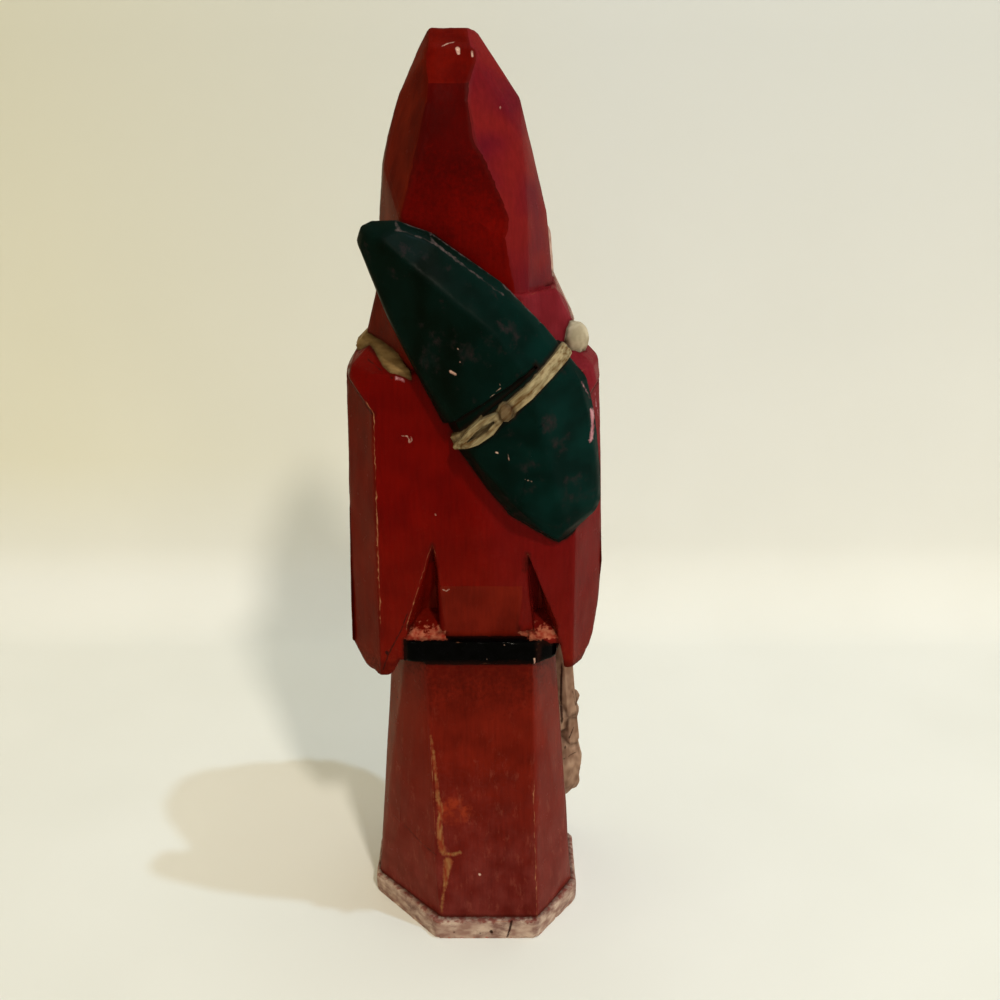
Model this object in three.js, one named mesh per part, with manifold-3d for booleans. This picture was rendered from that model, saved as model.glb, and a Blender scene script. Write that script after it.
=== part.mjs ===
import * as THREE from "three";
import { ConvexGeometry } from "three/addons/geometries/ConvexGeometry.js";
import { mergeVertices } from "three/addons/utils/BufferGeometryUtils.js";
import Module from "manifold-3d";

// A Santa knife-carved from one block of wood, in millimetres. +X is the figure's left, -Y its
// front, and Z is height above the table. Every facet is one flat stroke of the knife.

// Heights of the main levels.
const hemTop = 4.8;
const waistHeight = 62;
const beltBottom = 69.4;
const beltTop = 74.8;
const elbowHeight = 66.2;
const notchTop = 97.6;
const shoulderHeight = 134.5;
const neckHeight = 140.5;
const cowlTop = 151.6;
const browHeight = 166;
const crownTop = 203;

// Widths and depths of the block.
const hemHalfWidth = 24.8;
const hemHalfDepth = 26;
const waistHalfWidth = 19.5;
const waistHalfDepth = 20;
const armReachLeft = 27.7;
const armReachRight = 29;
const coatBack = 19;
const chestFront = -13;
const headCentre = 1.2;

// The sack, its tie and the strap.
const sackBulge = 28.4;
const sackSeat = 14.5;
const sackRim = 1.7;
const tieWidth = 2.9;
const tieProud = 1.3;
const pinchDepth = 1.3;

// Depth at which the notches end, behind the middle of the block.
const notchFloor = 10;

// Small parts.
const bobRadius = 3.4;
const furRadius = 2.4;
const furProud = 1;
const hoodDepth = 9;
const mittenRadius = 4.7;
const bearHeadRadius = 5.6;
const bearBodyRadius = 6.4;
const far = 200;

const red = 0x8e1a14;

const wasm = await Module();
wasm.setup();

function solid(geometry) {
  const bare = geometry.clone();
  bare.deleteAttribute("normal");
  bare.deleteAttribute("uv");
  const merged = mergeVertices(bare, 1e-4);
  return new wasm.Manifold(
    new wasm.Mesh({
      numProp: 3,
      vertProperties: new Float32Array(merged.attributes.position.array),
      triVerts: new Uint32Array(merged.index.array),
    }),
  );
}

// The smallest flat-sided body round a set of corners.
function hewn(corners) {
  return solid(new ConvexGeometry(corners.map((c) => new THREE.Vector3(...c))));
}

function joined(solids) {
  return solids.reduce((whole, next) => whole.add(next));
}

// One knife stroke: takes off everything beyond a plane through a point.
function stroke(body, point, outward) {
  const normal = new THREE.Vector3(...outward).normalize();
  const block = new THREE.BoxGeometry(2 * far, 2 * far, 2 * far);
  const turn = new THREE.Quaternion().setFromUnitVectors(new THREE.Vector3(0, 0, 1), normal);
  block.applyQuaternion(turn);
  const centre = new THREE.Vector3(...point).addScaledVector(normal, far);
  block.translate(centre.x, centre.y, centre.z);
  return body.subtract(solid(block));
}

// Corners of a level section: back face, sides and front face with a chamfer at each corner.
function section(z, s) {
  return [
    [s.backLeft, s.back, z],
    [s.left, s.sideBackLeft, z],
    [s.left, s.sideFrontLeft, z],
    [s.frontLeft, s.front, z],
    [s.frontRight, s.front, z],
    [s.right, s.sideFrontRight, z],
    [s.right, s.sideBackRight, z],
    [s.backRight, s.back, z],
  ];
}

function mix(a, b, t) {
  return a + (b - a) * t;
}

function mixPoint(a, b, t) {
  return a.map((v, i) => mix(v, b[i], t));
}

// A V-shaped groove in a surface that faces the front, along a path of points lying on it.
function groove(path, halfWidth, depth) {
  const cuts = [];
  const shares = path.map((p, i) => (i === 0 ? 0.3 : 1));
  for (let i = 1; i < path.length; i += 1) {
    const corners = [];
    for (const k of [i - 1, i]) {
      const [x, y, z] = path[k];
      const half = halfWidth * shares[k];
      corners.push([x, y + depth * shares[k], z]);
      corners.push([x - half * 2, y - depth * shares[k], z]);
      corners.push([x + half * 2, y - depth * shares[k], z]);
    }
    cuts.push(hewn(corners));
  }
  return joined(cuts);
}

// A faceted lump: rings of corners round a centre, flattened to the given half sizes.
function lump(centre, half, sides = 8, turn = 0) {
  const corners = [];
  for (const [rise, spread] of [
    [-1, 0.45],
    [-0.55, 0.86],
    [0.1, 1],
    [0.65, 0.8],
    [1, 0.4],
  ]) {
    for (let i = 0; i < sides; i += 1) {
      const angle = turn + (2 * Math.PI * i) / sides;
      corners.push([
        centre[0] + half[0] * spread * Math.cos(angle),
        centre[1] + half[1] * spread * Math.sin(angle),
        centre[2] + half[2] * rise,
      ]);
    }
  }
  return hewn(corners);
}

// A chain of lumps hewn into each other along a path of [x, y, z, radius].
function rope(path, sides = 6) {
  const links = [];
  for (let i = 1; i < path.length; i += 1) {
    const corners = [];
    for (const [x, y, z, r] of [path[i - 1], path[i]]) {
      for (const [level, spread] of [
        [-0.8, 0.6],
        [0, 1],
        [0.8, 0.6],
      ]) {
        for (let k = 0; k < sides; k += 1) {
          const angle = (2 * Math.PI * (k + 0.5)) / sides;
          corners.push([
            x + r * spread * Math.cos(angle),
            y + r * spread * Math.sin(angle),
            z + r * level,
          ]);
        }
      }
    }
    links.push(hewn(corners));
  }
  return joined(links);
}

// Red edge of the hood behind its fur, filling the gap back to the crown.
function hoodEdge(arch, depth) {
  const webs = [];
  for (let i = 1; i < arch.length; i += 1) {
    const corners = [];
    for (const [x, y, z, r] of [arch[i - 1], arch[i]]) {
      const inward = headCentre + (x - headCentre) * 0.86;
      for (const reach of [0.5, depth]) {
        corners.push([x, y + reach, z + r * 0.5], [x, y + reach, z - r * 0.5]);
        corners.push([inward, y + reach, z - r * 0.6]);
      }
    }
    webs.push(hewn(corners));
  }
  return joined(webs);
}

// Coat skirt: eight-sided and flaring to the hem, with one extra narrow facet at the left.
function skirtSection(z, spread) {
  const t = (waistHeight - z) / (waistHeight - hemTop);
  const width = mix(waistHalfWidth, hemHalfWidth - furProud, t) + spread;
  const depth = mix(waistHalfDepth, hemHalfDepth - 1.6, t) + spread;
  const left = width + 0.1;
  const right = -width + 0.3;
  const backLeft = mix(10.2, 8.4, t);
  const backRight = mix(-13.4, -14.8, t);
  const stripX = mix(15.8, 19, t);
  const stripY = mix(13.4, 13.2, t);
  const sideLeft = mix(5, 6, t);
  const sideRight = mix(9, 10.5, t);
  return [
    [backLeft, depth, z],
    [stripX + spread * 0.7, stripY + spread * 0.7, z],
    [left, sideLeft, z],
    [left, -sideLeft, z],
    [stripX + spread * 0.7, -stripY - spread * 0.7, z],
    [backLeft, -depth, z],
    [backRight, -depth, z],
    [right, -sideRight, z],
    [right, sideRight, z],
    [backRight, depth, z],
  ];
}

function skirt() {
  const body = hewn([...skirtSection(hemTop - 1, 0), ...skirtSection(waistHeight + 10, 0)]);
  // Two later strokes near the hem, one on each back corner.
  const first = stroke(body, [13.7, 18.1, 25], [0.748, 0.665, -0.007]);
  return stroke(first, [-17.2, 20.4, 14], [-0.87, 0.49, 0.02]);
}

function hem() {
  const lower = {
    left: hemHalfWidth,
    right: -hemHalfWidth,
    back: hemHalfDepth,
    front: -hemHalfDepth,
    backLeft: 9,
    backRight: -14.6,
    frontLeft: 10.5,
    frontRight: -12.5,
    sideBackLeft: 7,
    sideFrontLeft: -8,
    sideBackRight: 11,
    sideFrontRight: -9,
  };
  return hewn([...section(0, lower), ...section(hemTop, lower)]);
}

// White band down the front of the coat, above and below the belt.
function coatEdge() {
  const halfWidth = 3.4;
  const strips = [
    [
      [hemTop - 1, -hemHalfDepth + 0.4],
      [beltBottom + 1, -waistHalfDepth - 0.2],
    ],
    [
      [beltTop - 1, chestFront - furProud],
      [notchTop + 8, chestFront - furProud],
    ],
  ].map((ends) => {
    const corners = [];
    for (const [z, y] of ends) {
      for (const turn of [-1, 1]) {
        corners.push([headCentre + turn * halfWidth, y, z]);
        corners.push([headCentre + turn * (halfWidth + 0.6), y + 4, z]);
      }
    }
    return hewn(corners);
  });
  return joined(strips);
}

function belt() {
  const girth = {
    left: waistHalfWidth + 0.4,
    right: -waistHalfWidth - 0.1,
    back: waistHalfDepth - 0.1,
    front: -waistHalfDepth - 1,
    backLeft: 14.6,
    backRight: -14.2,
    frontLeft: 12,
    frontRight: -11,
    sideBackLeft: 12,
    sideFrontLeft: -11,
    sideBackRight: 13.4,
    sideFrontRight: -12,
  };
  return hewn([...section(beltBottom, girth), ...section(beltTop, girth)]);
}

function buckle() {
  const centre = (beltBottom + beltTop) / 2;
  const outer = new THREE.BoxGeometry(11, 6, 9.4);
  outer.translate(headCentre, -waistHalfDepth + 0.6, centre);
  const inner = new THREE.BoxGeometry(6.4, 6, 5);
  inner.translate(headCentre, -waistHalfDepth - 3.6, centre);
  return solid(outer).subtract(solid(inner));
}

// Everything behind and in front of a flat shape drawn on the back, from one depth to another.
function prism(shape, near, deep) {
  return hewn(shape.flatMap(([x, z]) => [[x, near, z], [x, deep, z]]));
}

// Chest, back and both sleeves as one block, from the elbows to the shoulders.
function coatBlock() {
  const left = armReachLeft;
  const right = -armReachRight;
  const elbow = elbowHeight;
  const corners = [
    [18, coatBack, elbow + 0.6],
    [24.5, coatBack, elbow - 0.3],
    [left + 0.2, coatBack, elbow + 4.3],
    [left - 0.1, coatBack, beltTop + 6],
    [left - 1, coatBack, shoulderHeight - 6],
    [-20.4, coatBack, elbow + 3],
    [-24.5, coatBack, elbow + 1.8],
    [right + 2, coatBack, elbow + 5],
    [right, coatBack, beltTop + 8],
    [right + 1.7, coatBack, shoulderHeight - 6],
    [20, coatBack - 0.2, shoulderHeight + 1],
    [-20, coatBack - 0.2, shoulderHeight + 1],
    [25.2, 15, shoulderHeight + 1.8],
    [-25.4, 15, shoulderHeight + 1.8],
    [left - 0.9, 8, shoulderHeight + 0.1],
    [right + 1.9, 8, shoulderHeight + 0.4],
    [right + 2, 8, shoulderHeight + 2.4],
    [24.8, 5, neckHeight - 2.4],
    [-25.2, 5, neckHeight - 2],
    [21, 8, neckHeight - 0.4],
    [-21, 8, neckHeight - 0.4],
  ];
  for (const [x, y, z] of [
    [left + 0.2, -6, elbow + 4.3],
    [24.3, -10, elbow - 0.2],
    [left, -5, notchTop],
    [left - 1, -5, shoulderHeight - 2],
    [right + 1.4, -6, elbow + 8.6],
    [-24, -10, elbow + 1],
    [right, -5, notchTop],
    [right + 1.8, -5, shoulderHeight],
    [18, chestFront, elbow + 1],
    [-18, chestFront, elbow + 2],
    [19, chestFront, shoulderHeight - 8],
    [-19, chestFront, shoulderHeight - 8],
    [20, -8, neckHeight - 1.4],
    [-20, -8, neckHeight - 1.4],
  ])
    corners.push([x, y, z]);
  return hewn(corners);
}

// The long facet that takes the back corner off a sleeve and runs out under the shoulder.
function sleeveFacet(side) {
  const edge = side > 0 ? 20.7 : 22.2;
  const reach = side > 0 ? armReachLeft : armReachRight;
  const sideDepth = side > 0 ? 9.9 : 8.3;
  const corners = [
    [edge - 0.2, coatBack + 0.01, shoulderHeight - 7.6],
    [reach - 0.5, sideDepth, shoulderHeight - 0.5],
    [reach + 4, coatBack + 3, shoulderHeight + 12.5],
    [edge, coatBack + 0.01, waistHeight - 12],
    [reach, sideDepth, waistHeight - 12],
    [reach + 4, coatBack + 3, waistHeight - 12],
  ];
  return hewn(corners.map(([x, y, z]) => [side * x, y, z]));
}

// The deep notch that parts a sleeve from the back: steep against the back, slanting at the arm.
function notch(side) {
  const top = side > 0 ? [8.6, notchTop] : [11.9, notchTop - 2];
  const arm = side > 0 ? 15 : 19.1;
  const back = side > 0 ? 7.2 : 13.6;
  const foot = beltTop - 1.4;
  const mouth = [
    top,
    [arm - 0.4, foot + 5],
    [arm, foot],
    [back, foot],
    [mix(top[0], back, 0.7), notchTop - 5],
  ];
  const corners = mouth.flatMap(([x, z]) => [[side * x, coatBack, z], [side * x, far, z]]);
  corners.push([side * (back + 0.8), notchFloor, foot], [side * (arm - 2.6), notchFloor, foot]);
  corners.push([side * (back + 1.2), 13.5, notchTop - 11]);
  return hewn(corners);
}

// Torn end grain left at the bottom of a notch, above the belt.
function tornWood(side) {
  const arm = side > 0 ? 15 : 19.1;
  const back = side > 0 ? 7 : 13.4;
  const corners = [];
  for (const [y, z] of [
    [coatBack - 0.3, beltTop + 0.5],
    [9, beltTop + 6],
    [coatBack - 0.3, beltTop - 1],
    [9, beltTop - 1],
  ]) {
    corners.push([side * (back - 1), y, z], [side * (arm + 0.6), y, z]);
  }
  return hewn(corners);
}

function coatTop() {
  const beltGap = prism(
    [
      [14, beltTop - 0.8],
      [14, beltBottom + 0.2],
      [-20.2, beltBottom + 0.2],
      [-19.3, beltTop - 0.8],
    ],
    -far,
    far,
  );
  const waistGap = prism(
    [
      [16.4, beltBottom + 0.4],
      [18.4, elbowHeight - 0.4],
      [19, waistHeight - 20],
      [-21.4, waistHeight - 20],
      [-20.2, beltBottom + 0.4],
    ],
    -far,
    far,
  );
  const tilt = hewn(
    [
      [coatBack + 0.01, 88],
      [coatBack - 1.7, beltTop - 1],
      [coatBack + 9, 88],
      [coatBack + 9, beltTop - 1],
    ].flatMap(([y, z]) => [[7.6, y, z], [-14.4, y, z]]),
  );
  const fronts = [-1, 1].map((turn) =>
    hewn([
      [turn * 17, chestFront - 0.5, shoulderHeight - 6],
      [turn * 13.6, chestFront - 0.5, elbowHeight - 2],
      [turn * 19.6, chestFront - 4, elbowHeight - 2],
      [turn * 15.2, chestFront + 6, elbowHeight - 2],
      [turn * 16.2, chestFront + 4, notchTop],
      [turn * 13.8, chestFront - 6, elbowHeight - 2],
    ]),
  );
  const cuts = [beltGap, waistGap, tilt, ...fronts, notch(1), notch(-1), sleeveFacet(1), sleeveFacet(-1)];
  return joined([coatBlock().subtract(joined(cuts)), tornWood(1), tornWood(-1)]);
}

// A forearm from the elbow to the cuff, the cuff and a mitten with its thumb.
function forearm(side, wrist, hand, thumb) {
  const reach = side > 0 ? armReachLeft : armReachRight;
  const elbow = elbowHeight + (side > 0 ? 1.2 : 3);
  const corners = [
    [side * (reach - 0.5), -3, elbow + 9],
    [side * (reach - 3), -3, elbow + 1.6],
    [side * 18, -3, elbow + 1],
    [side * 15, -3, elbow + 20],
    [side * (reach - 1), -4, elbow + 22],
  ];
  const arm = new THREE.Vector3(...wrist).sub(new THREE.Vector3(side * 22, -3, elbow + 10));
  const along = arm.normalize();
  const up = new THREE.Vector3(0, 0, 1);
  const across = new THREE.Vector3().crossVectors(along, up).normalize();
  const lift = new THREE.Vector3().crossVectors(across, along).normalize();
  function ring(radius, shift) {
    const ends = [];
    for (let i = 0; i < 8; i += 1) {
      const angle = (Math.PI * (i + 0.5)) / 4;
      const p = new THREE.Vector3(...wrist).addScaledVector(along, shift);
      p.addScaledVector(across, radius * Math.cos(angle));
      p.addScaledVector(lift, radius * Math.sin(angle));
      ends.push(p.toArray());
    }
    return ends;
  }
  const sleeveEnd = hewn([...corners, ...ring(6, -1)]);
  const cuff = hewn([...ring(6.2, -3.6), ...ring(7, -2.6), ...ring(6.9, 0.6), ...ring(6, 1.6)]);
  const palm = new THREE.Vector3(...hand);
  const start = new THREE.Vector3(...wrist).addScaledVector(along, 0.5);
  const mitten = rope([
    [start.x, start.y, start.z, 4],
    [palm.x, palm.y, palm.z, mittenRadius],
  ]);
  const root = start.clone().lerp(palm, 0.45);
  const finger = rope([
    [root.x, root.y, root.z, mittenRadius * 0.5],
    [...thumb, mittenRadius * 0.42],
  ]);
  return joined([sleeveEnd, cuff, mitten, finger]);
}

// Cowl of the hood, spreading over the shoulders.
function cowl() {
  const corners = [
    [22.6, 5, neckHeight + 1.1],
    [22.6, -5, neckHeight + 0.9],
    [12.4, 17.8, neckHeight - 4.8],
    [-12, 17.8, neckHeight - 4.6],
    [-22, 8, neckHeight + 2.1],
    [-22.2, -4, neckHeight + 1.6],
    [14, -14.4, neckHeight - 2.5],
    [-12, -14.4, neckHeight - 2.5],
    [20, 5, neckHeight - 6],
    [-20, 5, neckHeight - 6],
    [10, 16.6, neckHeight - 7],
    [-10, 16.6, neckHeight - 7],
    [-19.9, 6, cowlTop - 3],
  ];
  const high = {
    left: 19.9,
    right: -17.6,
    back: 16.2,
    front: -14,
    backLeft: 12,
    backRight: -10.5,
    frontLeft: 12,
    frontRight: -10,
    sideBackLeft: 8,
    sideFrontLeft: -5,
    sideBackRight: 9,
    sideFrontRight: -5,
  };
  return hewn([...corners, ...section(cowlTop, high)]);
}

// Crown of the cap: a tall cone leaning to the figure's left, cut off aslant at the tip.
function crown() {
  // Height, left and right edges, back and front faces, ends of the back face, and the break
  // in the facet to the right of it.
  const levels = [
    [cowlTop - 3, 20.2, -17.6, 15.6, -14.5, 14.4, -9.8, -11.8, 13.8],
    [browHeight + 0.5, 19.3, -15.8, 15, -14.5, 14.1, -6.4, -11.4, 12.2],
    [177, 18.4, -13.2, 13.1, -12.6, 10.5, -2.3, -10.8, 8.8],
    [182.5, 17.1, -11.8, 11.6, -11.6, 9, -0.6, -10.2, 6.6],
    [189.3, 15, -10.1, 9.4, -10.4, 8.6, 0.4, -6.6, 6.6],
    [195, 12.2, -6.2, 6.6, -8.6, 8.4, 0.3, -2.6, 5.2],
    [198.5, 10.8, -3.6, 4.9, -7, 8.4, -0.2, -0.9, 4.4],
  ];
  const corners = [];
  for (const [z, left, right, back, front, backLeft, backRight, breakX, breakY] of levels) {
    corners.push([backLeft, back, z], [backRight, back, z], [breakX, breakY, z]);
    corners.push([left, back * 0.24, z], [right, back * 0.24, z]);
    corners.push([left * 0.96, front * 0.3, z], [right * 0.97, front * 0.3, z]);
    corners.push([left * 0.6, front, z], [mix(left, right, 0.66), front, z]);
  }
  corners.push([16.4, 10.2, browHeight], [17.8, 6, 176]);
  corners.push([8.4, -0.5, crownTop], [0.6, -0.5, crownTop], [-1.2, -1.4, crownTop - 0.8]);
  corners.push([9, -3.5, crownTop - 0.8], [0, -4, crownTop - 1], [4.6, -5, crownTop - 1]);
  return hewn(corners);
}

// Solid wood inside the hood, behind the face and the beard.
function head() {
  const half = 12.5;
  const corners = [];
  for (const z of [neckHeight - 10, browHeight + 2]) {
    for (const y of [-11.5, 11]) corners.push([headCentre - half, y, z], [headCentre + half, y, z]);
  }
  return hewn(corners);
}

// Face, nose, brows, moustache and beard.
function face() {
  const x = headCentre;
  const mask = hewn([
    [x - 9.5, -8, browHeight + 2],
    [x + 9.5, -8, browHeight + 2],
    [x - 8.5, -14.6, browHeight],
    [x + 8.5, -14.6, browHeight],
    [x, -16.4, browHeight - 1],
    [x - 10, -15, 152],
    [x + 10, -15, 152],
    [x, -18.4, 151],
    [x - 10, -8, 142],
    [x + 10, -8, 142],
    [x, -17.5, 143],
  ]);
  const sockets = [-1, 1].map((turn) =>
    hewn([
      [x + turn * 1.6, -17.6, 159.6],
      [x + turn * 8.8, -15.6, 159.2],
      [x + turn * 1.8, -15.2, 158.4],
      [x + turn * 8.2, -13.6, 158],
      [x + turn * 2.2, -18.6, 154.8],
      [x + turn * 8.6, -17.4, 154.6],
    ]),
  );
  const nose = hewn([
    [x - 1.3, -15.8, 160],
    [x + 1.3, -15.8, 160],
    [x, -17.4, 159.6],
    [x - 2.9, -17, 151.4],
    [x + 2.9, -17, 151.4],
    [x - 1.5, -22, 151.8],
    [x + 1.5, -22, 151.8],
    [x, -22.4, 153.6],
    [x, -19, 149.6],
  ]);
  return joined([mask.subtract(joined(sockets)), nose]);
}

function brow(turn) {
  const x = headCentre;
  return hewn([
    [x + turn * 1.5, -15, 160.4],
    [x + turn * 2, -18.2, 160.8],
    [x + turn * 2.4, -16.6, 163.4],
    [x + turn * 5.6, -17.6, 162],
    [x + turn * 5.6, -15, 164],
    [x + turn * 9.2, -14, 160],
    [x + turn * 8.6, -16, 159.8],
  ]);
}

function moustache(turn) {
  const x = headCentre;
  return hewn([
    [x - turn * 0.6, -17, 151],
    [x - turn * 0.6, -21.6, 149.8],
    [x, -19.8, 146.6],
    [x + turn * 5, -22.2, 149.6],
    [x + turn * 5.6, -20.6, 145.2],
    [x + turn * 10.5, -19.4, 146.8],
    [x + turn * 12.8, -16.6, 143.4],
    [x + turn * 6, -16, 151.4],
  ]);
}

function beard() {
  const x = headCentre;
  let body = hewn([
    [x - 11.5, -8, 155],
    [x + 11.5, -8, 155],
    [x - 11, -15.4, 153],
    [x + 11, -15.4, 153],
    [x - 13.5, -8, 139],
    [x + 13.5, -8, 139],
    [x - 12.5, -17.5, 138],
    [x + 12.5, -17.5, 138],
    [x - 5.5, -20.6, 146],
    [x + 5.5, -20.6, 146],
    [x - 7.5, -22.2, 134],
    [x + 7.5, -22.2, 134],
    [x - 9, -18.5, 116],
    [x + 9, -18.5, 116],
    [x - 9, -10, 114],
    [x + 9, -10, 114],
    [x, -21.8, 112],
    [x - 1.6, -17.6, 96.5],
    [x + 1.6, -17.6, 96.5],
    [x, -12, 96],
  ]);
  // Front face of the beard at one height, and how far it runs to each side.
  const levels = [
    [145, -20.9, 5.6],
    [134, -22.2, 7.5],
    [112, -21.8, 2],
    [97, -17.8, 0.5],
  ];
  function onBeard(dx, z) {
    let i = 1;
    while (i < levels.length - 1 && levels[i][0] > z) i += 1;
    const share = (levels[i - 1][0] - z) / (levels[i - 1][0] - levels[i][0]);
    const [, front, half] = mixPoint(levels[i - 1], levels[i], share);
    return [x + dx, front + Math.max(0, Math.abs(dx) - half) * 0.62, z];
  }
  for (const [top, tip, reach] of [
    [-3.4, -1.1, 101],
    [3.2, 1.3, 103],
    [-8, -3.9, 106],
    [7.8, 4, 107],
    [-11, -6.6, 113],
    [11, 6.6, 114],
    [0, 0.2, 118],
  ]) {
    const path = [0, 0.35, 0.7, 1].map((t) => onBeard(mix(top, tip, t), mix(143, reach, t)));
    body = body.subtract(groove(path, 0.8, 1.1));
  }
  return body;
}

// White fur round the hood's opening, coming down to the right shoulder.
function hoodFur() {
  const x = headCentre;
  const arch = [
    [-20.4, -4, neckHeight + 2, furRadius],
    [-15.7, -6.6, cowlTop + 0.4, furRadius],
    [-15.1, -9, cowlTop + 9, furRadius],
    [x - 11.6, -13.2, browHeight + 1.4, furRadius],
    [x - 4.5, -14.4, browHeight + 4.6, furRadius],
    [x + 4.5, -14.4, browHeight + 4.6, furRadius],
    [x + 12, -13, browHeight + 1.4, furRadius],
    [17.4, -10.4, cowlTop + 8, furRadius],
    [19.2, -8, cowlTop - 1.4, furRadius - 0.1],
    [20.4, -5, neckHeight + 1.4, furRadius],
  ];
  const strip = rope(arch);
  return joined([strip, hoodEdge(arch, hoodDepth)]);
}

// The sack across the back, a flattened leaf with a ridge from the tip to the lower point.
const sackOutline = [
  [22.7, 163.1],
  [21.8, 165.9],
  [19.7, 167],
  [14.8, 167.2],
  [7.9, 164.8],
  [2.8, 161.2],
  [-6.8, 154.5],
  [-14.2, 147],
  [-19.6, 140.5],
  [-23.8, 135.5],
  [-25.6, 128],
  [-27.2, 116.5],
  [-27.5, 108.4],
  [-26.6, 105.9],
  [-21.2, 100.2],
  [-18.8, 98.4],
  [-16.4, 99.7],
  [-8.4, 104.6],
  [-3.7, 110.1],
  [3.6, 120.9],
  [8.4, 131.5],
  [13.5, 140.9],
  [17.1, 148.4],
  [20.2, 157.2],
];
const sackRidge = [
  [17.6, 23.6, 164],
  [11, 26, 158.6],
  [3.5, 27.4, 152.6],
  [-5, 28.2, 146],
  [-11, sackBulge, 138],
  [-14, 28.2, 128],
  [-17.4, 27, 113],
  [-19.6, 24.2, 103],
  [-2, 25.8, 118],
  [-10, 26, 108.5],
];

function sackEdge(z) {
  return z > 140 ? mix(23.4, 21.4, (z - 140) / 28) : mix(21.6, 23.4, (z - 99) / 41);
}

// grow swells the sack evenly, so that the same shape also carries the cords lying on it.
function sack(grow) {
  const middle = [-2.5, 134];
  const corners = [];
  for (const [x, z] of sackOutline) {
    const away = Math.hypot(x - middle[0], z - middle[1]);
    const outer = 1 + grow / away;
    const inner = 1 + (grow - sackRim) / away;
    const edge = sackEdge(z) + grow * 0.5;
    corners.push([middle[0] + (x - middle[0]) * inner, sackSeat, middle[1] + (z - middle[1]) * inner]);
    corners.push([middle[0] + (x - middle[0]) * outer, edge - 2.4, middle[1] + (z - middle[1]) * outer]);
    corners.push([middle[0] + (x - middle[0]) * inner, edge, middle[1] + (z - middle[1]) * inner]);
  }
  for (const [x, y, z] of sackRidge) corners.push([x, y + grow, z]);
  return hewn(corners);
}

// Everything within half a width of the line from one point of the back to another.
function band(from, to, halfWidthFrom, halfWidthTo, shape) {
  const along = new THREE.Vector2(to[0] - from[0], to[1] - from[1]).normalize();
  const across = new THREE.Vector2(-along.y, along.x);
  const length = Math.hypot(to[0] - from[0], to[1] - from[1]);
  const corners = [];
  for (const [share, width] of shape) {
    const half = mix(halfWidthFrom, halfWidthTo, share) * width;
    const x = from[0] + along.x * length * share;
    const z = from[1] + along.y * length * share;
    for (const turn of [-1, 1]) {
      corners.push([x + across.x * half * turn, 0, z + across.y * half * turn]);
      corners.push([x + across.x * half * turn, 40, z + across.y * half * turn]);
    }
  }
  return hewn(corners);
}

const tieStart = [-21.4, 143.4];
const tieKnot = [-7.2, 130.2];
const tieEnd = [3.6, 120.9];

// The sack pinched above its tie, with the cord, its knot and one loop of the bow.
function tiedSack() {
  const straight = [
    [0, 1],
    [1, 1],
  ];
  const leaf = [
    [0, 0.3],
    [0.35, 1],
    [0.62, 0.9],
    [1, 0.12],
  ];
  const half = tieWidth / 2;
  const pinchFrom = [mix(tieKnot[0], tieStart[0], 0.55) + 1.6, mix(tieKnot[1], tieStart[1], 0.55) + 1.7];
  const pinchTo = [tieEnd[0] + 3.4, tieEnd[1] + 1.4];
  const pinch = band(pinchFrom, pinchTo, 0.3, 1.7, straight);
  const body = sack(0).subtract(pinch.subtract(sack(-pinchDepth)));
  const cord = band(tieStart, tieKnot, half, half * 0.9, straight).intersect(sack(tieProud));
  const loop = band(tieKnot, tieEnd, half * 1.35, half * 1.35, leaf).intersect(sack(tieProud + 0.3));
  const hollowFrom = mixPoint(tieKnot, tieEnd, 0.22);
  const hollowTo = mixPoint(tieKnot, tieEnd, 0.74);
  const hollow = band(hollowFrom, hollowTo, half * 0.5, half * 0.5, leaf);
  const opened = loop.subtract(hollow.subtract(sack(0.1)));
  const knot = lump([tieKnot[0], sackBulge - 0.6, tieKnot[1]], [2, 2.4, 1.9], 6);
  return joined([body, cord, opened, knot]);
}

// The strap over the left shoulder, down to the left hand in front.
function strap() {
  // Upper edge, lower edge, and the way down into the coat, from the sack to the left hand.
  const stations = [
    [[12.6, 18.4, 136.4], [12.4, 19.2, 134.9], [0, -1.6, -2]],
    [[16.4, 12.4, 139.5], [16.6, 18.6, 136.1], [0, -1.6, -2]],
    [[22.6, 5.4, 141.5], [25.1, 6.6, 138.7], [-1.6, -0.8, -2]],
    [[22.4, -3, 141.4], [25.4, -3, 138.4], [-1.8, 0, -2]],
    [[19.6, -9.4, 138.6], [23.2, -8.4, 135.4], [-1, 1.6, -2]],
    [[16.6, -13.8, 128], [19.8, -13.4, 126.6], [0, 2.6, 0]],
    [[12, -14.8, 112], [15.2, -14.4, 110.8], [0, 2.6, 0]],
    [[9, -15.6, 101], [12.2, -15.2, 100], [0, 3, 0]],
  ];
  const links = [];
  for (let i = 1; i < stations.length; i += 1) {
    const corners = [];
    for (const [upper, lower, inward] of [stations[i - 1], stations[i]]) {
      for (const edge of [upper, lower]) {
        corners.push(edge, edge.map((v, k) => v + inward[k]));
      }
    }
    links.push(hewn(corners));
  }
  return joined(links);
}

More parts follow.
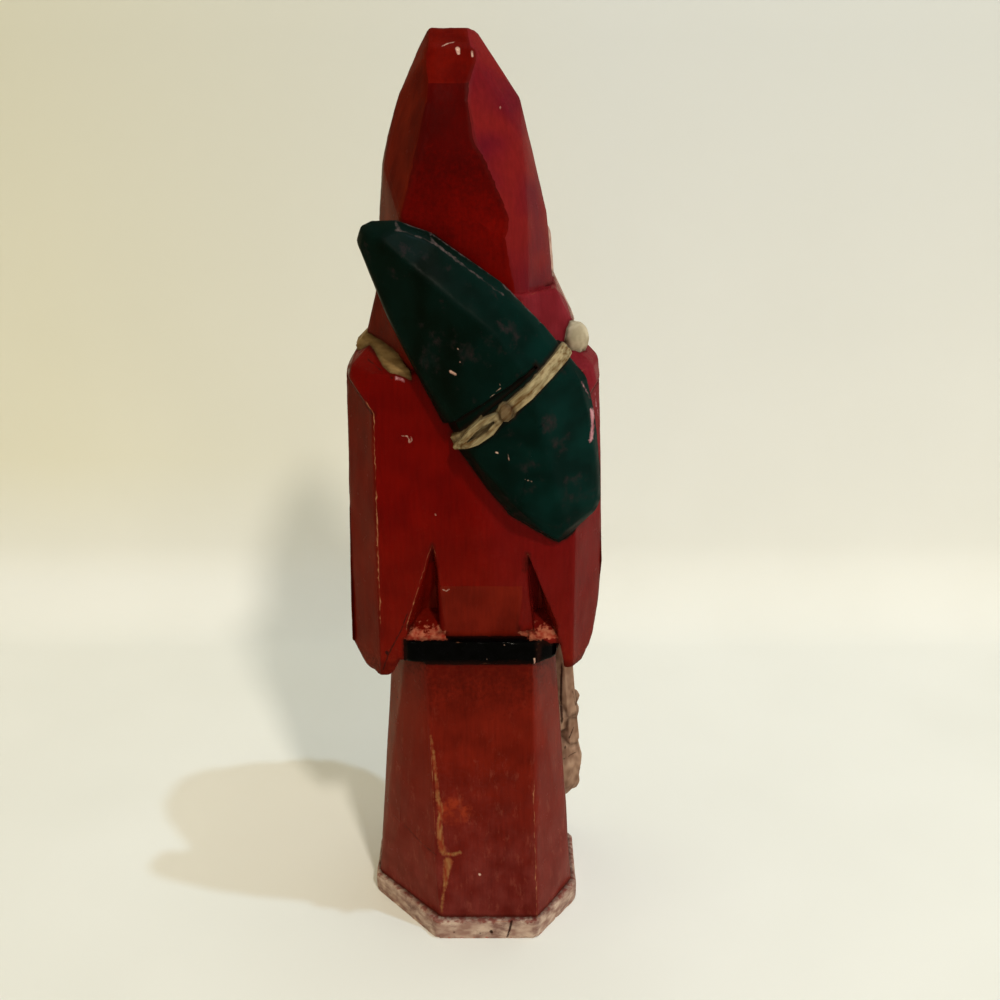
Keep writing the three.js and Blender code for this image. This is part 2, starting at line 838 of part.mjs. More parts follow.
// A small toy bear held by one paw in the right hand.
function bear() {
  const x = -21.2;
  const y = -17;
  return joined([
    lump([x - 0.3, y, 22.4], [bearBodyRadius, bearBodyRadius * 0.95, 9.4], 8, 0.3),
    lump([x + 0.1, y - 0.4, 36.6], [bearHeadRadius, bearHeadRadius * 0.94, 5.2], 8, 0.1),
    lump([x - 0.4, y - 5.6, 35.2], [2.4, 2.2, 1.9], 6),
    lump([x - 3.6, y - 0.6, 41], [2, 1.6, 1.9], 6),
    lump([x + 4.4, y - 0.4, 40.6], [2, 1.6, 1.9], 6),
    rope([
      [x - 2.8, y + 1, 30, 2.9],
      [x - 1.7, y + 1.4, 43, 2.6],
      [x - 0.4, y - 0.6, 60, 2.6],
    ]),
    rope([
      [x + 4.4, y - 1, 29.6, 2.4],
      [x + 7.6, y - 2.6, 21, 2.1],
    ]),
    rope([
      [x - 2.4, y - 1, 18, 3],
      [x - 3.6, y - 3.6, 14.4, 2.9],
    ]),
    rope([
      [x + 3.2, y - 1, 18, 3],
      [x + 4.2, y - 4, 14.2, 2.9],
    ]),
  ]);
}

function bob() {
  return lump([-22.1, 8.4, neckHeight + 0.4], [bobRadius - 0.3, bobRadius, bobRadius], 7, 0.2);
}

const figure = joined([
  hem(),
  skirt(),
  coatEdge(),
  belt(),
  buckle(),
  coatTop(),
  forearm(1, [15.6, -16, 88.5], [9.4, -17.4, 96], [13.6, -20.4, 98.4]),
  forearm(-1, [-22.2, -14.6, 72.6], [-21.8, -18.2, 63], [-18.2, -21.2, 61.4]),
  cowl(),
  crown(),
  head(),
  face(),
  brow(-1),
  brow(1),
  moustache(-1),
  moustache(1),
  beard(),
  hoodFur(),
  tiedSack(),
  strap(),
  bear(),
  bob(),
]);

function meshOf(body, name, material) {
  const made = body.getMesh();
  const geometry = new THREE.BufferGeometry();
  geometry.setAttribute("position", new THREE.BufferAttribute(made.vertProperties.slice(), 3));
  geometry.setIndex(new THREE.BufferAttribute(made.triVerts.slice(), 1));
  geometry.computeVertexNormals();
  const mesh = new THREE.Mesh(geometry, material);
  mesh.name = name;
  return mesh;
}

const paintedWood = new THREE.MeshStandardMaterial({ color: red, roughness: 0.5, metalness: 0 });

const santa = new THREE.Group();
santa.name = "carved_santa";
santa.add(meshOf(figure, "santa_figure", paintedWood));

export default santa;
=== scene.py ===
import math

import bmesh
import bpy
import numpy as np
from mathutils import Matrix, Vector, kdtree
from mathutils.bvhtree import BVHTree


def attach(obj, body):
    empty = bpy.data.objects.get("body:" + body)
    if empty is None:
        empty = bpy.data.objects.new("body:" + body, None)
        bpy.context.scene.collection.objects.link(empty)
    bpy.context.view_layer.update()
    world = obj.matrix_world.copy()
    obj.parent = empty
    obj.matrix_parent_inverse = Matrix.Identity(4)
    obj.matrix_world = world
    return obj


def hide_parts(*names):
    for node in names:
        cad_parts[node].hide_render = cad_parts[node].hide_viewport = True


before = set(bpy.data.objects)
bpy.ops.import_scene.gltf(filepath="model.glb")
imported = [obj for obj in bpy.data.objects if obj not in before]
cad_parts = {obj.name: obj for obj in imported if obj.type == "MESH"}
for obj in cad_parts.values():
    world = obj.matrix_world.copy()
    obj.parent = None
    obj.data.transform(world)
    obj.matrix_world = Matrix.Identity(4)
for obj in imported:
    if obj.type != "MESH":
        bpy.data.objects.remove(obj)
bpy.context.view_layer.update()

# All sizes are in millimetres, and turned into metres where they are used.
MM = 0.001

# Points nearer to each other than this are one.
WELD = 0.002

# Turns between facets: one that is still flat, a crease, an arris, and where the shading breaks.
FLAT_ANGLE = math.radians(0.4)
CREASE_ANGLE = math.radians(4)
ARRIS_ANGLE = math.radians(13)
SMOOTH_ANGLE = math.radians(42)

# A facet narrower than this beside an edge gives no line there.
SLIVER = 0.2

# Lengths of the facet edges in the fine mesh, by place.
PLAIN_EDGE = 1.7
ARRIS_EDGE = 1.05
MARK_EDGE = 0.45
FACE_EDGE = 0.75
UNDERSIDE_EDGE = 4.0

# The face lies in front of a depth, between two heights.
FACE_DEPTH = -12
FACE_LOW = 142
FACE_HIGH = 165

# The underside is lower than this, and its facets face down at least so far.
UNDERSIDE_HIGH = 0.01
UNDERSIDE_FACING = -0.99

# The cells that hold the wanted lengths, the steps in which lines fill them, and their margin.
CELL = 1.5
FILL_STEP = CELL / 3
MARGIN = 3 * CELL

# The step of the points that distances are taken from, and the farthest distance kept.
LINE_STEP = 0.3
FARTHEST = 8.0

# How the fine mesh is made: the passes that flip edges, the most passes, the rounds of choosing
# edges in each, and the fewest edges that are worth another pass.
FLIP_PASSES = (1, 2, 3, 4, 6, 8, 10)
MOST_PASSES = 22
CHOICES = 5
FEWEST = 60

# How near the arrises the wood is rubbed round, and how many times: all over, and on the belt.
# The middle of the strap is left out, beyond a depth within its paint.
RUB_STRENGTH = 0.5
STRAP_DEPTH = -1
ARRIS_SOFTNESS = 0.5
ARRIS_ROUNDS = 2
BELT_SOFTNESS = 1.2
BELT_ROUNDS = 9

# The size and height of the knife's hollows, of the marks of the tool, and of torn paint.
HOLLOWS = (13, 0.5)
TOOL_MARKS = (3.4, 0.12)
TORN_EDGES = (1.1, 1.1)

# Hollows fade out towards the arrises over a reach, down to a least share, and stop at the foot.
CALM_REACH = 2
CALM_LEAST = 0.2
FOOT = 0.6

# Torn paint starts a little outside the bare wood, is full a reach further in, and lies above the skirt.
TORN_START = 0.4
TORN_REACH = 1.2
SKIRT_HIGH = 60

# Steps in which a share of displacement is stored.
WEIGHT_STEPS = 10

# The least half width over which a mark gets deeper.
MARK_SLOPE = 0.3

# Paints, each with points on the surfaces it covers. A fourth number keeps the paint that near.
PAINTS = {
    "sack": [(-5, 28.2, 146), (-14, 28.2, 125), (9, 25, 150), (-5, 25.8, 113), (12.8, -17.4, 98),
             (9.4, -22, 96), (-21.8, -22.6, 63), (-18.2, -23, 61.4), (0.1, 24.7, 126.6), (-6, 26.1, 132.1),
             (12.5, -21.4, 97.6, 4), (11.8, -20.4, 98, 3)],
    "strap": [(17, 18, 137.5), (24, 6, 140), (24, -3, 140), (20, -9, 137), (18, -13.8, 127),
              (13.6, -14.8, 111.4), (11, -15.6, 101), (-1.8, 28.8, 125.6), (-7.2, 30, 130.2),
              (-5, 28.9, 128.6), (-13, 29, 137, 12), (-1.9, 26.4, 125.4)],
    "belt": [(0, 20, 72), (-16.5, 18.7, 71.5), (-8, -21, 72), (1.2, -21, 72)],
    "trim": [(0, 26, 2), (1.2, -26, 40), (1.2, -14, 90),
             (-29, -13.6, 73.4), (21.9, -19.1, 88.5)],
    "fur": [(-20.4, -6.6, 142.5), (-18, -6, 147), (-15.5, -9, 156), (-13, -13, 164), (-7, -16, 169.4),
            (1.2, -17, 171), (9, -16, 169.4), (15.6, -13, 164), (18.6, -11, 155), (20.6, -7.6, 146)],
    "hair": [(1.2, -22, 125), (5, -20, 163), (-3, -20, 163), (6, -22, 148), (-4, -22, 148)],
    "skin": [(7, -16, 152.6), (-5, -16, 152.6), (1.2, -22.4, 153), (1.2, -16.5, 164), (6, -16, 157),
             (-3, -16, 157), (7.9, -14.6, 158.1, 3), (-4.2, -14.5, 158.1, 1.5)],
    "bob": [(-22.1, 12, 140.9)],
    "buckle": [(1.2, -22.4, 76.6)],
    "toy": [(-21.5, -23, 22.4), (-21.1, -23, 38), (-21.6, -25, 35.2), (-24.8, -18, 42), (-16.8, -18, 42),
            (-24, -15, 33), (-23.4, -14, 48), (-16, -20, 26), (-24.4, -21, 16), (-17.4, -21, 16)],
    "bare": [(10.3, 16, 76.8, 3.9), (-14.6, 16, 76.8, 3.9)],
}

# Runs along which the paint is rubbed off the arrises, how far each reaches and how strongly it shows.
RUBBED = [
    ([(20.8, 19, 131), (20.7, 19, 108), (21.6, 18, 80)], 1.6, 0.9),
    ([(8.3, 19, 97), (13, 19, 85), (16.6, 19, 75.4)], 1.2, 0.75),
    ([(9.8, 20.8, 52), (8.8, 21.6, 41), (8.0, 22.6, 27)], 1.5, 0.55),
    ([(-13.3, 21.7, 41), (-13.7, 22.6, 30)], 1.6, 1.0),
    ([(-13.6, 22.8, 26), (-13.6, 23.8, 10), (-15, 24.4, 5)], 1.4, 0.8),
    ([(14.3, 20.1, 166.5), (5.9, 20.4, 163.1), (-8, 20.7, 152.7), (-18, 21.2, 142)], 2, 0.8),
    ([(19.7, 8.3, 148.5), (14.9, 14.6, 138.8)], 1.6, 0.5),
    ([(-2, 13.2, 177), (-3.4, 13.8, 172)], 1.2, 0.6),
    ([(-11, 16, 151), (-17, 12, 151)], 1.6, 0.4),
    ([(1.2, 24, 4.8), (-13, 26, 4.8)], 1.2, 0.5),
]

# Marks: a path, the half width at its start and end, and its depth in the wood.
CHIPS = [
    ([(5.6, 3.8, 199.4), (4.4, 3.2, 199.9), (3.2, 2.9, 200.1)], 0.07, 0.12, 0.1),
    ([(2.5, 4.0, 198.9), (2.3, 4.5, 198.0)], 0.42, 0.28, 0.12),
    ([(-0.4, 4.4, 198.4), (-0.5, 4.9, 197.4)], 0.2, 0.12, 0.05),
    ([(-6, 7.4, 187.9), (-6.1, 7.5, 187.5)], 0.15, 0.12, 0.05),
    ([(3.9, 26, 138), (2.9, 26.2, 137.5)], 0.26, 0.24, 0.1),
    ([(2.4, 26.8, 142.9), (2.3, 26.8, 142.7)], 0.09, 0.09, 0),
    ([(2.0, 26.7, 140.2), (2.0, 26.7, 140.0)], 0.1, 0.09, 0),
    ([(-5.9, 27.6, 136.1), (-6.1, 27.6, 135), (-4, 27.1, 132.8), (-2.8, 25.6, 131.1)], 0.03, 0.05, 0),
    ([(7.9, 19, 104.8), (7.8, 19, 104.6)], 0.1, 0.1, 0),
    ([(6.5, 18.9, 87), (5.8, 18.8, 86.7), (5.2, 18.9, 87.1)], 0.1, 0.12, 0.1),
    ([(14.6, 19, 122.3), (13.5, 19, 122.3), (13.1, 19, 121.6), (13.1, 19, 120.8)], 0.07, 0.1, 0),
    ([(13.1, 19, 120.8), (12.5, 19, 121.4), (12.7, 19, 122.1)], 0.1, 0.07, 0),
    # This pale speck on the belt's corner is a painted highlight.
    ([(-13.7, 19.8, 70.6), (-13.8, 19.8, 69.6)], 0.27, 0.24, 0.05),
    ([(-3.1, 19.9, 70.7), (-3.2, 19.9, 70.5)], 0.09, 0.09, 0),
    ([(-6.9, 19.9, 74.2), (-7, 19.9, 74)], 0.07, 0.07, 0),
    ([(-5.2, 26.5, 121.2), (-5.6, 26.5, 121)], 0.12, 0.1, 0),
    ([(-7.6, 26.8, 120.8), (-7.9, 26.7, 119.5)], 0.07, 0.07, 0),
    ([(-11.2, 26.7, 115.2), (-12.6, 26.8, 114.8)], 0.07, 0.07, 0),
    ([(-1.2, 23.5, 16.3), (-1.3, 23.5, 16.1)], 0.26, 0.26, 0.05),
]
SCUFFS = [
    ([(-25, 21.3, 128.4), (-25.3, 21.3, 126.5), (-24.8, 22.5, 122.6)], 0.75, 0.5, 0.05),
    ([(-26.3, 12.1, 129.9), (-26.6, 11.4, 126.8), (-27.3, 10.3, 123.8)], 0.1, 0.1, 0),
    ([(-22.7, 22.5, 134.9), (-24.5, 21.1, 131.1)], 0.12, 0.16, 0),
    ([(15.2, 18.8, 134.7), (13.9, 18.8, 134.4)], 0.4, 0.2, 0),
]
SCRAPES = [
    ([(9.7, 20.8, 51.6), (9.1, 21.2, 46.1), (8.6, 21.6, 40.6), (8.3, 22.0, 35.5)], 0.12, 0.3, 0.05),
    ([(8.3, 22, 35.5), (7.6, 22.2, 33), (8.1, 22.5, 29)], 0.45, 0.4, 0.12),
    ([(8.1, 22.5, 29.4), (7.9, 22.8, 25.2), (7.3, 23, 22.4)], 0.5, 0.65, 0.12),
    ([(7.3, 23.1, 21.6), (5, 23.1, 21.5), (3.3, 23.1, 21.9)], 0.3, 0.22, 0.2),
    ([(6.1, 23.3, 19.6), (6.6, 23.5, 16.3), (7.0, 23.8, 12.6)], 0.95, 0.25, 0.08),
    ([(7.0, 23.8, 12.6), (7.6, 24, 9.4), (7.8, 24.3, 6.2)], 0.2, 0.18, 0.04),
]
CUTS = [
    ([(-8.7, 25.8, 4.9), (-8.4, 26, 3), (-8.1, 26, 1.8), (-7.6, 26, 0)], 0.3, 0.16, 0.5),
    ([(-3.9, 26, 2), (-4, 26, 1.7)], 0.36, 0.36, 0.3),
    ([(19.3, 19, 71.9), (19.2, 19, 71.5)], 0.3, 0.3, 0.1),
    ([(14.3, 19, 81.7), (15.9, 19, 77.3), (18.9, 19, 71.4), (20.2, 19, 67.6)], 0.1, 0.14, 0.1),
    ([(4.9, 26, 1.8), (4.8, 26, 1.7)], 0.2, 0.2, 0.05),
    ([(-1.3, 26, 1.5), (-1.4, 26, 1.4)], 0.14, 0.14, 0.05),
    ([(19.6, 10.8, 24), (16.2, 15.3, 23.3), (12.4, 19.4, 21.8), (8.9, 23.1, 21.3)], 0.07, 0.1, 0.06),
    ([(18.1, 9.8, 55.6), (18.1, 9.8, 55.4)], 0.2, 0.2, 0.05),
    ([(23.8, 9.7, 137.9), (21.2, 14.3, 137.1), (18.7, 17.4, 135.9), (16.3, 18.8, 134.8)],
     0.3, 0.16, 0.1),
    ([(-25, -13.8, 34), (-24, -13.2, 31.8), (-22.7, -12.5, 28.6)], 0.12, 0.2, 0.15),
    ([(-25.7, -13.9, 26.6), (-23.8, -12.4, 26.4), (-22.4, -11.8, 25.8)], 0.1, 0.16, 0.15),
    ([(-21.5, -14.2, 52), (-21.5, -13.9, 41.8), (-21.8, -12.3, 36.9), (-22.6, -11.8, 28)], 0.3, 0.3, 0.15),
    ([(-24.3, -14.1, 44.6), (-25.4, -14.3, 40.1)], 0.08, 0.12, 0.1),
]

# Shallow knife cuts over the facets of the hood: three points on each plane, and how far it reaches.
SHAVINGS = [
    ((-1, 7.83, 192.5), (9, 7.83, 192.5), (4, 3.6, 199.6), 8),
    ((1.0, 13.1, 177), (-1.0, 15.0, 166.5), (-4.3, 13.5, 172), 11),
]
SHAVING_HEIGHT = 5
SHAVING_SIDES = 8

# Wedges cut off beside the two notches over the belt, and one added at the belt's end, by their corners.
NOTCH_SIDES = [
    [(-11.85, 19.05, 95.2), (-10.15, 17.6, 75.9), (-13.6, 16.0, 75.9),
     (-11.85, 21, 95.2), (-10.15, 21, 75.9), (-14, 21, 75.9)],
    [(7.65, 19.05, 93), (6.3, 17.6, 75.9), (7.5, 16.8, 75.9),
     (7.65, 21, 93), (6.3, 21, 75.9), (8, 21, 75.9)],
]
BELT_END = [(-13.6, 19.86, 69.4), (-13.6, 19.86, 74.8), (-18.9, 17.6, 69.6), (-18.9, 17.6, 73.7),
            (-18.9, 12, 69.6), (-18.9, 12, 73.7), (-13.6, 14, 69.4), (-13.6, 14, 74.8)]

# Places round which the creases are left without painted shade, with how far.
SHADELESS_CREASES = [((8.5, 15, 84.5), 9), ((-15, 15, 84.5), 9), ((-13, 13, 151), 7)]


def pick(piece):
    """Selects one piece alone."""
    bpy.ops.object.select_all(action="DESELECT")
    piece.select_set(True)
    bpy.context.view_layer.objects.active = piece


def edit(piece):
    """Opens a piece for editing, with all of it selected."""
    pick(piece)
    bpy.ops.object.mode_set(mode="EDIT")
    bpy.ops.mesh.select_mode(type="VERT")
    bpy.ops.mesh.select_all(action="SELECT")


def done():
    """Ends the editing."""
    bpy.ops.object.mode_set(mode="OBJECT")


def copy_of(node_name, piece_name):
    """A welded copy of a CAD node, its flat facets whole again."""
    piece = bpy.data.objects.new(piece_name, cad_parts[node_name].data.copy())
    bpy.context.scene.collection.objects.link(piece)
    piece.data.materials.clear()
    edit(piece)
    bpy.ops.mesh.customdata_custom_splitnormals_clear()
    bpy.ops.mesh.remove_doubles(threshold=WELD * MM)
    bpy.ops.mesh.dissolve_limited(angle_limit=FLAT_ANGLE)
    done()
    return piece


def wedge(corners):
    """A throwaway block with these corners, in millimetres."""
    mesh = bpy.data.meshes.new("block")
    mesh.from_pydata([Vector(c) * MM for c in corners], [], [])
    block = bpy.data.objects.new("block", mesh)
    bpy.context.scene.collection.objects.link(block)
    edit(block)
    bpy.ops.mesh.convex_hull()
    done()
    return block


def plane_block(first, second, third, reach):
    """A throwaway block standing on the plane through three points, up to a reach from their middle."""
    points = [Vector(p) * MM for p in (first, second, third)]
    middle = sum(points, Vector()) / len(points)
    facing = (points[1] - points[0]).cross(points[2] - points[0]).normalized()
    if facing.y < 0:
        facing.negate()
    height = SHAVING_HEIGHT * MM
    bpy.ops.mesh.primitive_cylinder_add(vertices=SHAVING_SIDES, radius=reach * MM, depth=height,
                                        location=middle + facing * height / 2,
                                        rotation=facing.to_track_quat("Z", "Y").to_euler())
    return bpy.context.object


def carve(piece, block, operation="DIFFERENCE"):
    """Cuts a throwaway block out of a piece, or joins it on."""
    pick(piece)
    cut = piece.modifiers.new("cut", "BOOLEAN")
    cut.operation = operation
    cut.solver = "EXACT"
    cut.object = block
    bpy.ops.object.modifier_apply(modifier=cut.name)
    bpy.data.objects.remove(block)


def triangles(piece):
    """Splits every facet into triangles."""
    edit(piece)
    bpy.ops.mesh.quads_convert_to_tris(quad_method="BEAUTY", ngon_method="BEAUTY")
    done()


def mark_paints(piece):
    """Numbers each face by the paint on it: a paint spreads from its points up to the creases.

    The underside gets the last number, which is bare wood.
    """
    bm = bmesh.new()
    bm.from_mesh(piece.data)
    bm.faces.ensure_lookup_table()
    tree = BVHTree.FromBMesh(bm)
    for number, points in enumerate(PAINTS.values(), start=1):
        for x, y, z, *reach in points:
            source = Vector((x, y, z)) * MM
            farthest = reach[0] * MM if reach else math.inf
            start = tree.find_nearest(source)[2]
            waiting = [bm.faces[start]]
            bm.faces[start].material_index = number
            while waiting:
                face = waiting.pop()
                for border in face.edges:
                    if not border.is_manifold or border.calc_face_angle_signed(0) < -CREASE_ANGLE:
                        continue
                    for beyond in border.link_faces:
                        far = (beyond.calc_center_median() - source).length > farthest
                        if beyond.material_index != number and not far:
                            beyond.material_index = number
                            waiting.append(beyond)
    for face in bm.faces:
        if face.normal.z < UNDERSIDE_FACING and face.calc_center_median().z < WELD * MM:
            face.material_index = len(PAINTS)
    bm.to_mesh(piece.data)
    bm.free()


def positions(mesh):
    """The points of a mesh in millimetres, a row for each."""
    flat = np.empty(len(mesh.vertices) * 3)
    mesh.vertices.foreach_get("co", flat)
    return flat.reshape(-1, 3) / MM


def edge_ends(mesh):
    """The numbers of the two points of each edge."""
    ends = np.empty(len(mesh.edges) * 2, dtype=int)
    mesh.edges.foreach_get("vertices", ends)
    return ends.reshape(-1, 2)


def sharp_lines(piece):
    """Ends of the arrises and of the creases of the piece while its facets are still whole."""
    bm = bmesh.new()
    bm.from_mesh(piece.data)
    lines = {"arris": [], "crease": []}
    for edge in bm.edges:
        turn = edge.calc_face_angle_signed(0)
        length = edge.calc_length()
        smaller = min(face.calc_area() for face in edge.link_faces)
        if length < WELD * MM or smaller < SLIVER * MM * length:
            continue
        if abs(turn) > ARRIS_ANGLE:
            name = "arris" if turn > 0 else "crease"
            lines[name].append([v.co / MM for v in edge.verts])
    bm.free()
    return {name: np.array(ends) for name, ends in lines.items()}


def along(lines, step):
    """Points along straight lines, a step apart."""
    points = []
    for start, finish in lines:
        count = max(2, int(np.linalg.norm(finish - start) / step) + 1)
        points.append(start + (finish - start) * np.linspace(0, 1, count)[:, None])
    return np.concatenate(points)


def all_marks():
    """Every mark that has a path and a depth."""
    return CHIPS + SCUFFS + SCRAPES + CUTS


def wanted_lengths(piece, lines):
    """A function giving the edge length wanted round any point."""
    points = positions(piece.data)
    low = points.min(axis=0) - MARGIN
    shape = np.ceil((points.max(axis=0) + MARGIN - low) / CELL).astype(int)
    lengths = np.full(shape, PLAIN_EDGE)

    def cells(places):
        return tuple(((places - low) / CELL).astype(int).clip(0, shape - 1).T)

    def fill(places, length):
        near = np.zeros(shape, dtype=bool)
        near[cells(places)] = True
        lengths[near] = np.minimum(lengths[near], length)

    fill(along(np.concatenate(list(lines.values())), FILL_STEP), ARRIS_EDGE)
    for path, start_half, end_half, _ in all_marks():
        path = np.array(path, dtype=float)
        middle = along(zip(path[:-1], path[1:]), FILL_STEP)
        reach = max(start_half, end_half) + CELL / 2
        for shift in np.ndindex(3, 3, 3):
            fill(middle + (np.array(shift) - 1) * reach, MARK_EDGE)

    def wanted(places):
        length = lengths[cells(places)]
        face = (places[:, 1] < FACE_DEPTH) & (places[:, 2] > FACE_LOW) & (places[:, 2] < FACE_HIGH)
        length[face] = np.minimum(length[face], FACE_EDGE)
        length[places[:, 2] < UNDERSIDE_HIGH] = UNDERSIDE_EDGE
        return length

    return wanted


def to_halve(share, borders):
    """Edges to halve now: long ones, the longest first and at most one to a face."""
    free = np.ones(len(borders), dtype=bool)
    chosen = np.zeros(len(share), dtype=bool)
    sides = np.bincount(borders.ravel(), minlength=len(share))
    rows = np.arange(len(borders))
    for _ in range(CHOICES):
        left = np.where(share > 1, share, 0.0)
        left[borders[~free].ravel()] = 0
        best = borders[rows, left[borders].argmax(axis=1)]
        votes = np.bincount(best[left[best] > 0], minlength=len(share))
        taken = (votes == sides) & (left > 0)
        chosen |= taken
        free &= ~taken[borders].any(axis=1)
    return chosen


def refine(piece, lines):
    """Halves long edges over and over until all are as short as wanted."""
    wanted = wanted_lengths(piece, lines)
    mesh = piece.data
    pick(piece)
    bpy.context.scene.tool_settings.mesh_select_mode = (False, True, False)
    for count in range(MOST_PASSES):
        points = positions(mesh)
        ends = edge_ends(mesh)
        lengths = np.linalg.norm(points[ends[:, 0]] - points[ends[:, 1]], axis=1)
        borders = np.empty(len(mesh.loops), dtype=int)
        mesh.loops.foreach_get("edge_index", borders)
        chosen = to_halve(lengths / wanted(points[ends].mean(axis=1)), borders.reshape(-1, 3))
        if chosen.sum() < FEWEST:
            break
        mesh.vertices.foreach_set("select", np.zeros(len(points), dtype=bool))
        mesh.polygons.foreach_set("select", np.zeros(len(mesh.polygons), dtype=bool))
        mesh.edges.foreach_set("select", chosen)
        bpy.ops.object.mode_set(mode="EDIT")
        bpy.ops.mesh.subdivide(number_cuts=1, ngon=False)
        if count in FLIP_PASSES:
            bpy.ops.mesh.select_all(action="SELECT")
            bpy.ops.mesh.beautify_fill(angle_limit=FLAT_ANGLE)
        done()


def distances(points, others):
    """How far each point is from the nearest of the others."""
    tree = kdtree.KDTree(len(others))
    for number, point in enumerate(others):
        tree.insert(point, number)
    tree.balance()
    return np.array([min(FARTHEST, tree.find(point)[2]) for point in points])


def keep(piece, name, values):
    """Stores a value for each point on the piece, for its material."""
    layer = piece.data.attributes.new(name, "FLOAT", "POINT")
    layer.data.foreach_set("value", np.asarray(values, dtype=np.float32))


def path_distance(points, path, start_half, end_half):
    """How far each point lies outside a mark that follows a path, below zero within it."""
    path = np.array(path, dtype=float)
    halves = np.linspace(start_half, end_half, len(path))
    nearest = np.full(len(points), FARTHEST)
    close = np.linalg.norm(points - path.mean(axis=0), axis=1) < np.ptp(path, axis=0).sum() + FARTHEST
    for i in range(1, len(path)):
        way = path[i] - path[i - 1]
        share = ((points[close] - path[i - 1]) @ way / (way @ way)).clip(0, 1)
        gap = np.linalg.norm(points[close] - path[i - 1] - share[:, None] * way, axis=1)
        gap -= halves[i - 1] + (halves[i] - halves[i - 1]) * share
        nearest[close] = np.minimum(nearest[close], gap)
    return nearest


def write_paints(piece, points):
    """Keeps, for each paint, how far each point lies outside it, below zero within it."""
    mesh = piece.data
    numbers = np.empty(len(mesh.polygons), dtype=int)
    mesh.polygons.foreach_get("material_index", numbers)
    corners = np.empty(len(mesh.loops), dtype=int)
    mesh.loops.foreach_get("vertex_index", corners)
    by_corner = np.repeat(numbers, 3)
    for number, name in enumerate(PAINTS, start=1):
        within = np.zeros(len(points), dtype=bool)
        beyond = np.zeros(len(points), dtype=bool)
        within[corners[by_corner == number]] = True
        beyond[corners[by_corner != number]] = True
        rim = points[within & beyond]
        gap = distances(points, rim)
        keep(piece, name, np.where(within & ~beyond, -gap, gap))


def write_edges(piece, points, lines):
    """Keeps how far each point is from the nearest arris and from the nearest crease."""
    for name, ends in lines.items():
        gap = distances(points, along(ends, LINE_STEP))
        if name == "crease":
            for place, reach in SHADELESS_CREASES:
                gap = np.maximum(gap, reach - np.linalg.norm(points - place, axis=1))
        keep(piece, name, np.where(gap < LINE_STEP / 2, 0, gap))


def read(piece, name):
    """The values stored under a name."""
    values = np.empty(len(piece.data.vertices), dtype=np.float32)
    piece.data.attributes[name].data.foreach_get("value", values)
    return values


def write_marks(piece, points):
    """Keeps how far each point lies outside each kind of mark, and how rubbed the arrises are."""
    for name, marks in (("chip", CHIPS), ("scuff", SCUFFS), ("scrape", SCRAPES), ("cut", CUTS)):
        gap = np.full(len(points), FARTHEST)
        for path, start_half, end_half, _ in marks:
            gap = np.minimum(gap, path_distance(points, path, start_half, end_half))
        keep(piece, name, gap)
    rub = np.zeros(len(points))
    for path, reach, strength in RUBBED:
        rub = np.maximum(rub, strength * (path_distance(points, path, reach, reach) < 0))
    keep(piece, "rub", rub)


def write_facing(piece):
    """Keeps which way each facet faces, so a facet can carry its own tone right up to its arrises."""
    normals = np.empty(len(piece.data.polygons) * 3, dtype=np.float32)
    piece.data.polygons.foreach_get("normal", normals)
    layer = piece.data.attributes.new("facing", "FLOAT_VECTOR", "FACE")
    layer.data.foreach_set("vector", normals)


def sink_marks(piece, points):
    """Presses each mark into the wood, deepest along its middle."""
    normals = np.empty(len(piece.data.vertices) * 3)
    piece.data.vertices.foreach_get("normal", normals)
    normals = normals.reshape(-1, 3)
    moved = points.copy()
    for path, start_half, end_half, depth in all_marks():
        half = max(start_half, end_half, MARK_SLOPE)
        share = (-path_distance(points, path, start_half, end_half) / half).clip(0, 1)
        moved -= normals * (share * depth)[:, None]
    piece.data.vertices.foreach_set("co", (moved * MM).ravel())
    piece.data.update()


def soften(piece, near, rounds):
    """Rubs the chosen points round, as handling does."""
    piece.data.vertices.foreach_set("select", near)
    piece.data.edges.foreach_set("select", np.zeros(len(piece.data.edges), dtype=bool))
    piece.data.polygons.foreach_set("select", np.zeros(len(piece.data.polygons), dtype=bool))
    pick(piece)
    bpy.ops.object.mode_set(mode="EDIT")
    bpy.ops.mesh.select_mode(type="VERT")
    bpy.ops.mesh.vertices_smooth(factor=RUB_STRENGTH, repeat=rounds)
    done()


def ripple(piece, group, size, height):
    """Lifts and sinks the points of a group in soft lumps of a size, by their share of a height."""
    cloud = bpy.data.textures.new("knife_hollows", "CLOUDS")
    cloud.noise_scale = size * MM
    cloud.noise_depth = 1
    lift = piece.modifiers.new("lift", "DISPLACE")
    lift.texture = cloud
    lift.texture_coords = "LOCAL"
    lift.mid_level = 0.5
    lift.strength = height * MM
    lift.vertex_group = group
    pick(piece)
    bpy.ops.object.modifier_apply(modifier=lift.name)


def group_of(piece, name, weights):
    """Groups the points, each with its share of what is done to the group."""
    group = piece.vertex_groups.new(name=name)
    for level in range(1, WEIGHT_STEPS + 1):
        chosen = np.nonzero(np.round(weights * WEIGHT_STEPS) == level)[0]
        group.add(chosen.tolist(), level / WEIGHT_STEPS, "REPLACE")


def add(tree, kind, inputs=None, **settings):
    """A shader node with its settings and inputs, each a number, a colour or another node's output."""
    made = tree.nodes.new(kind)
    for key, value in settings.items():
        setattr(made, key, value)
    for key, value in (inputs or {}).items():
        if isinstance(value, bpy.types.NodeSocket):
            tree.links.new(value, made.inputs[key])
        else:
            made.inputs[key].default_value = value
    return made


def ramp(tree, value, low, high, start=0.0, end=1.0):
    """A value stretched from one range to another, and held within it."""
    ranges = {"Value": value, "From Min": low, "From Max": high, "To Min": start, "To Max": end}
    return add(tree, "ShaderNodeMapRange", ranges).outputs[0]


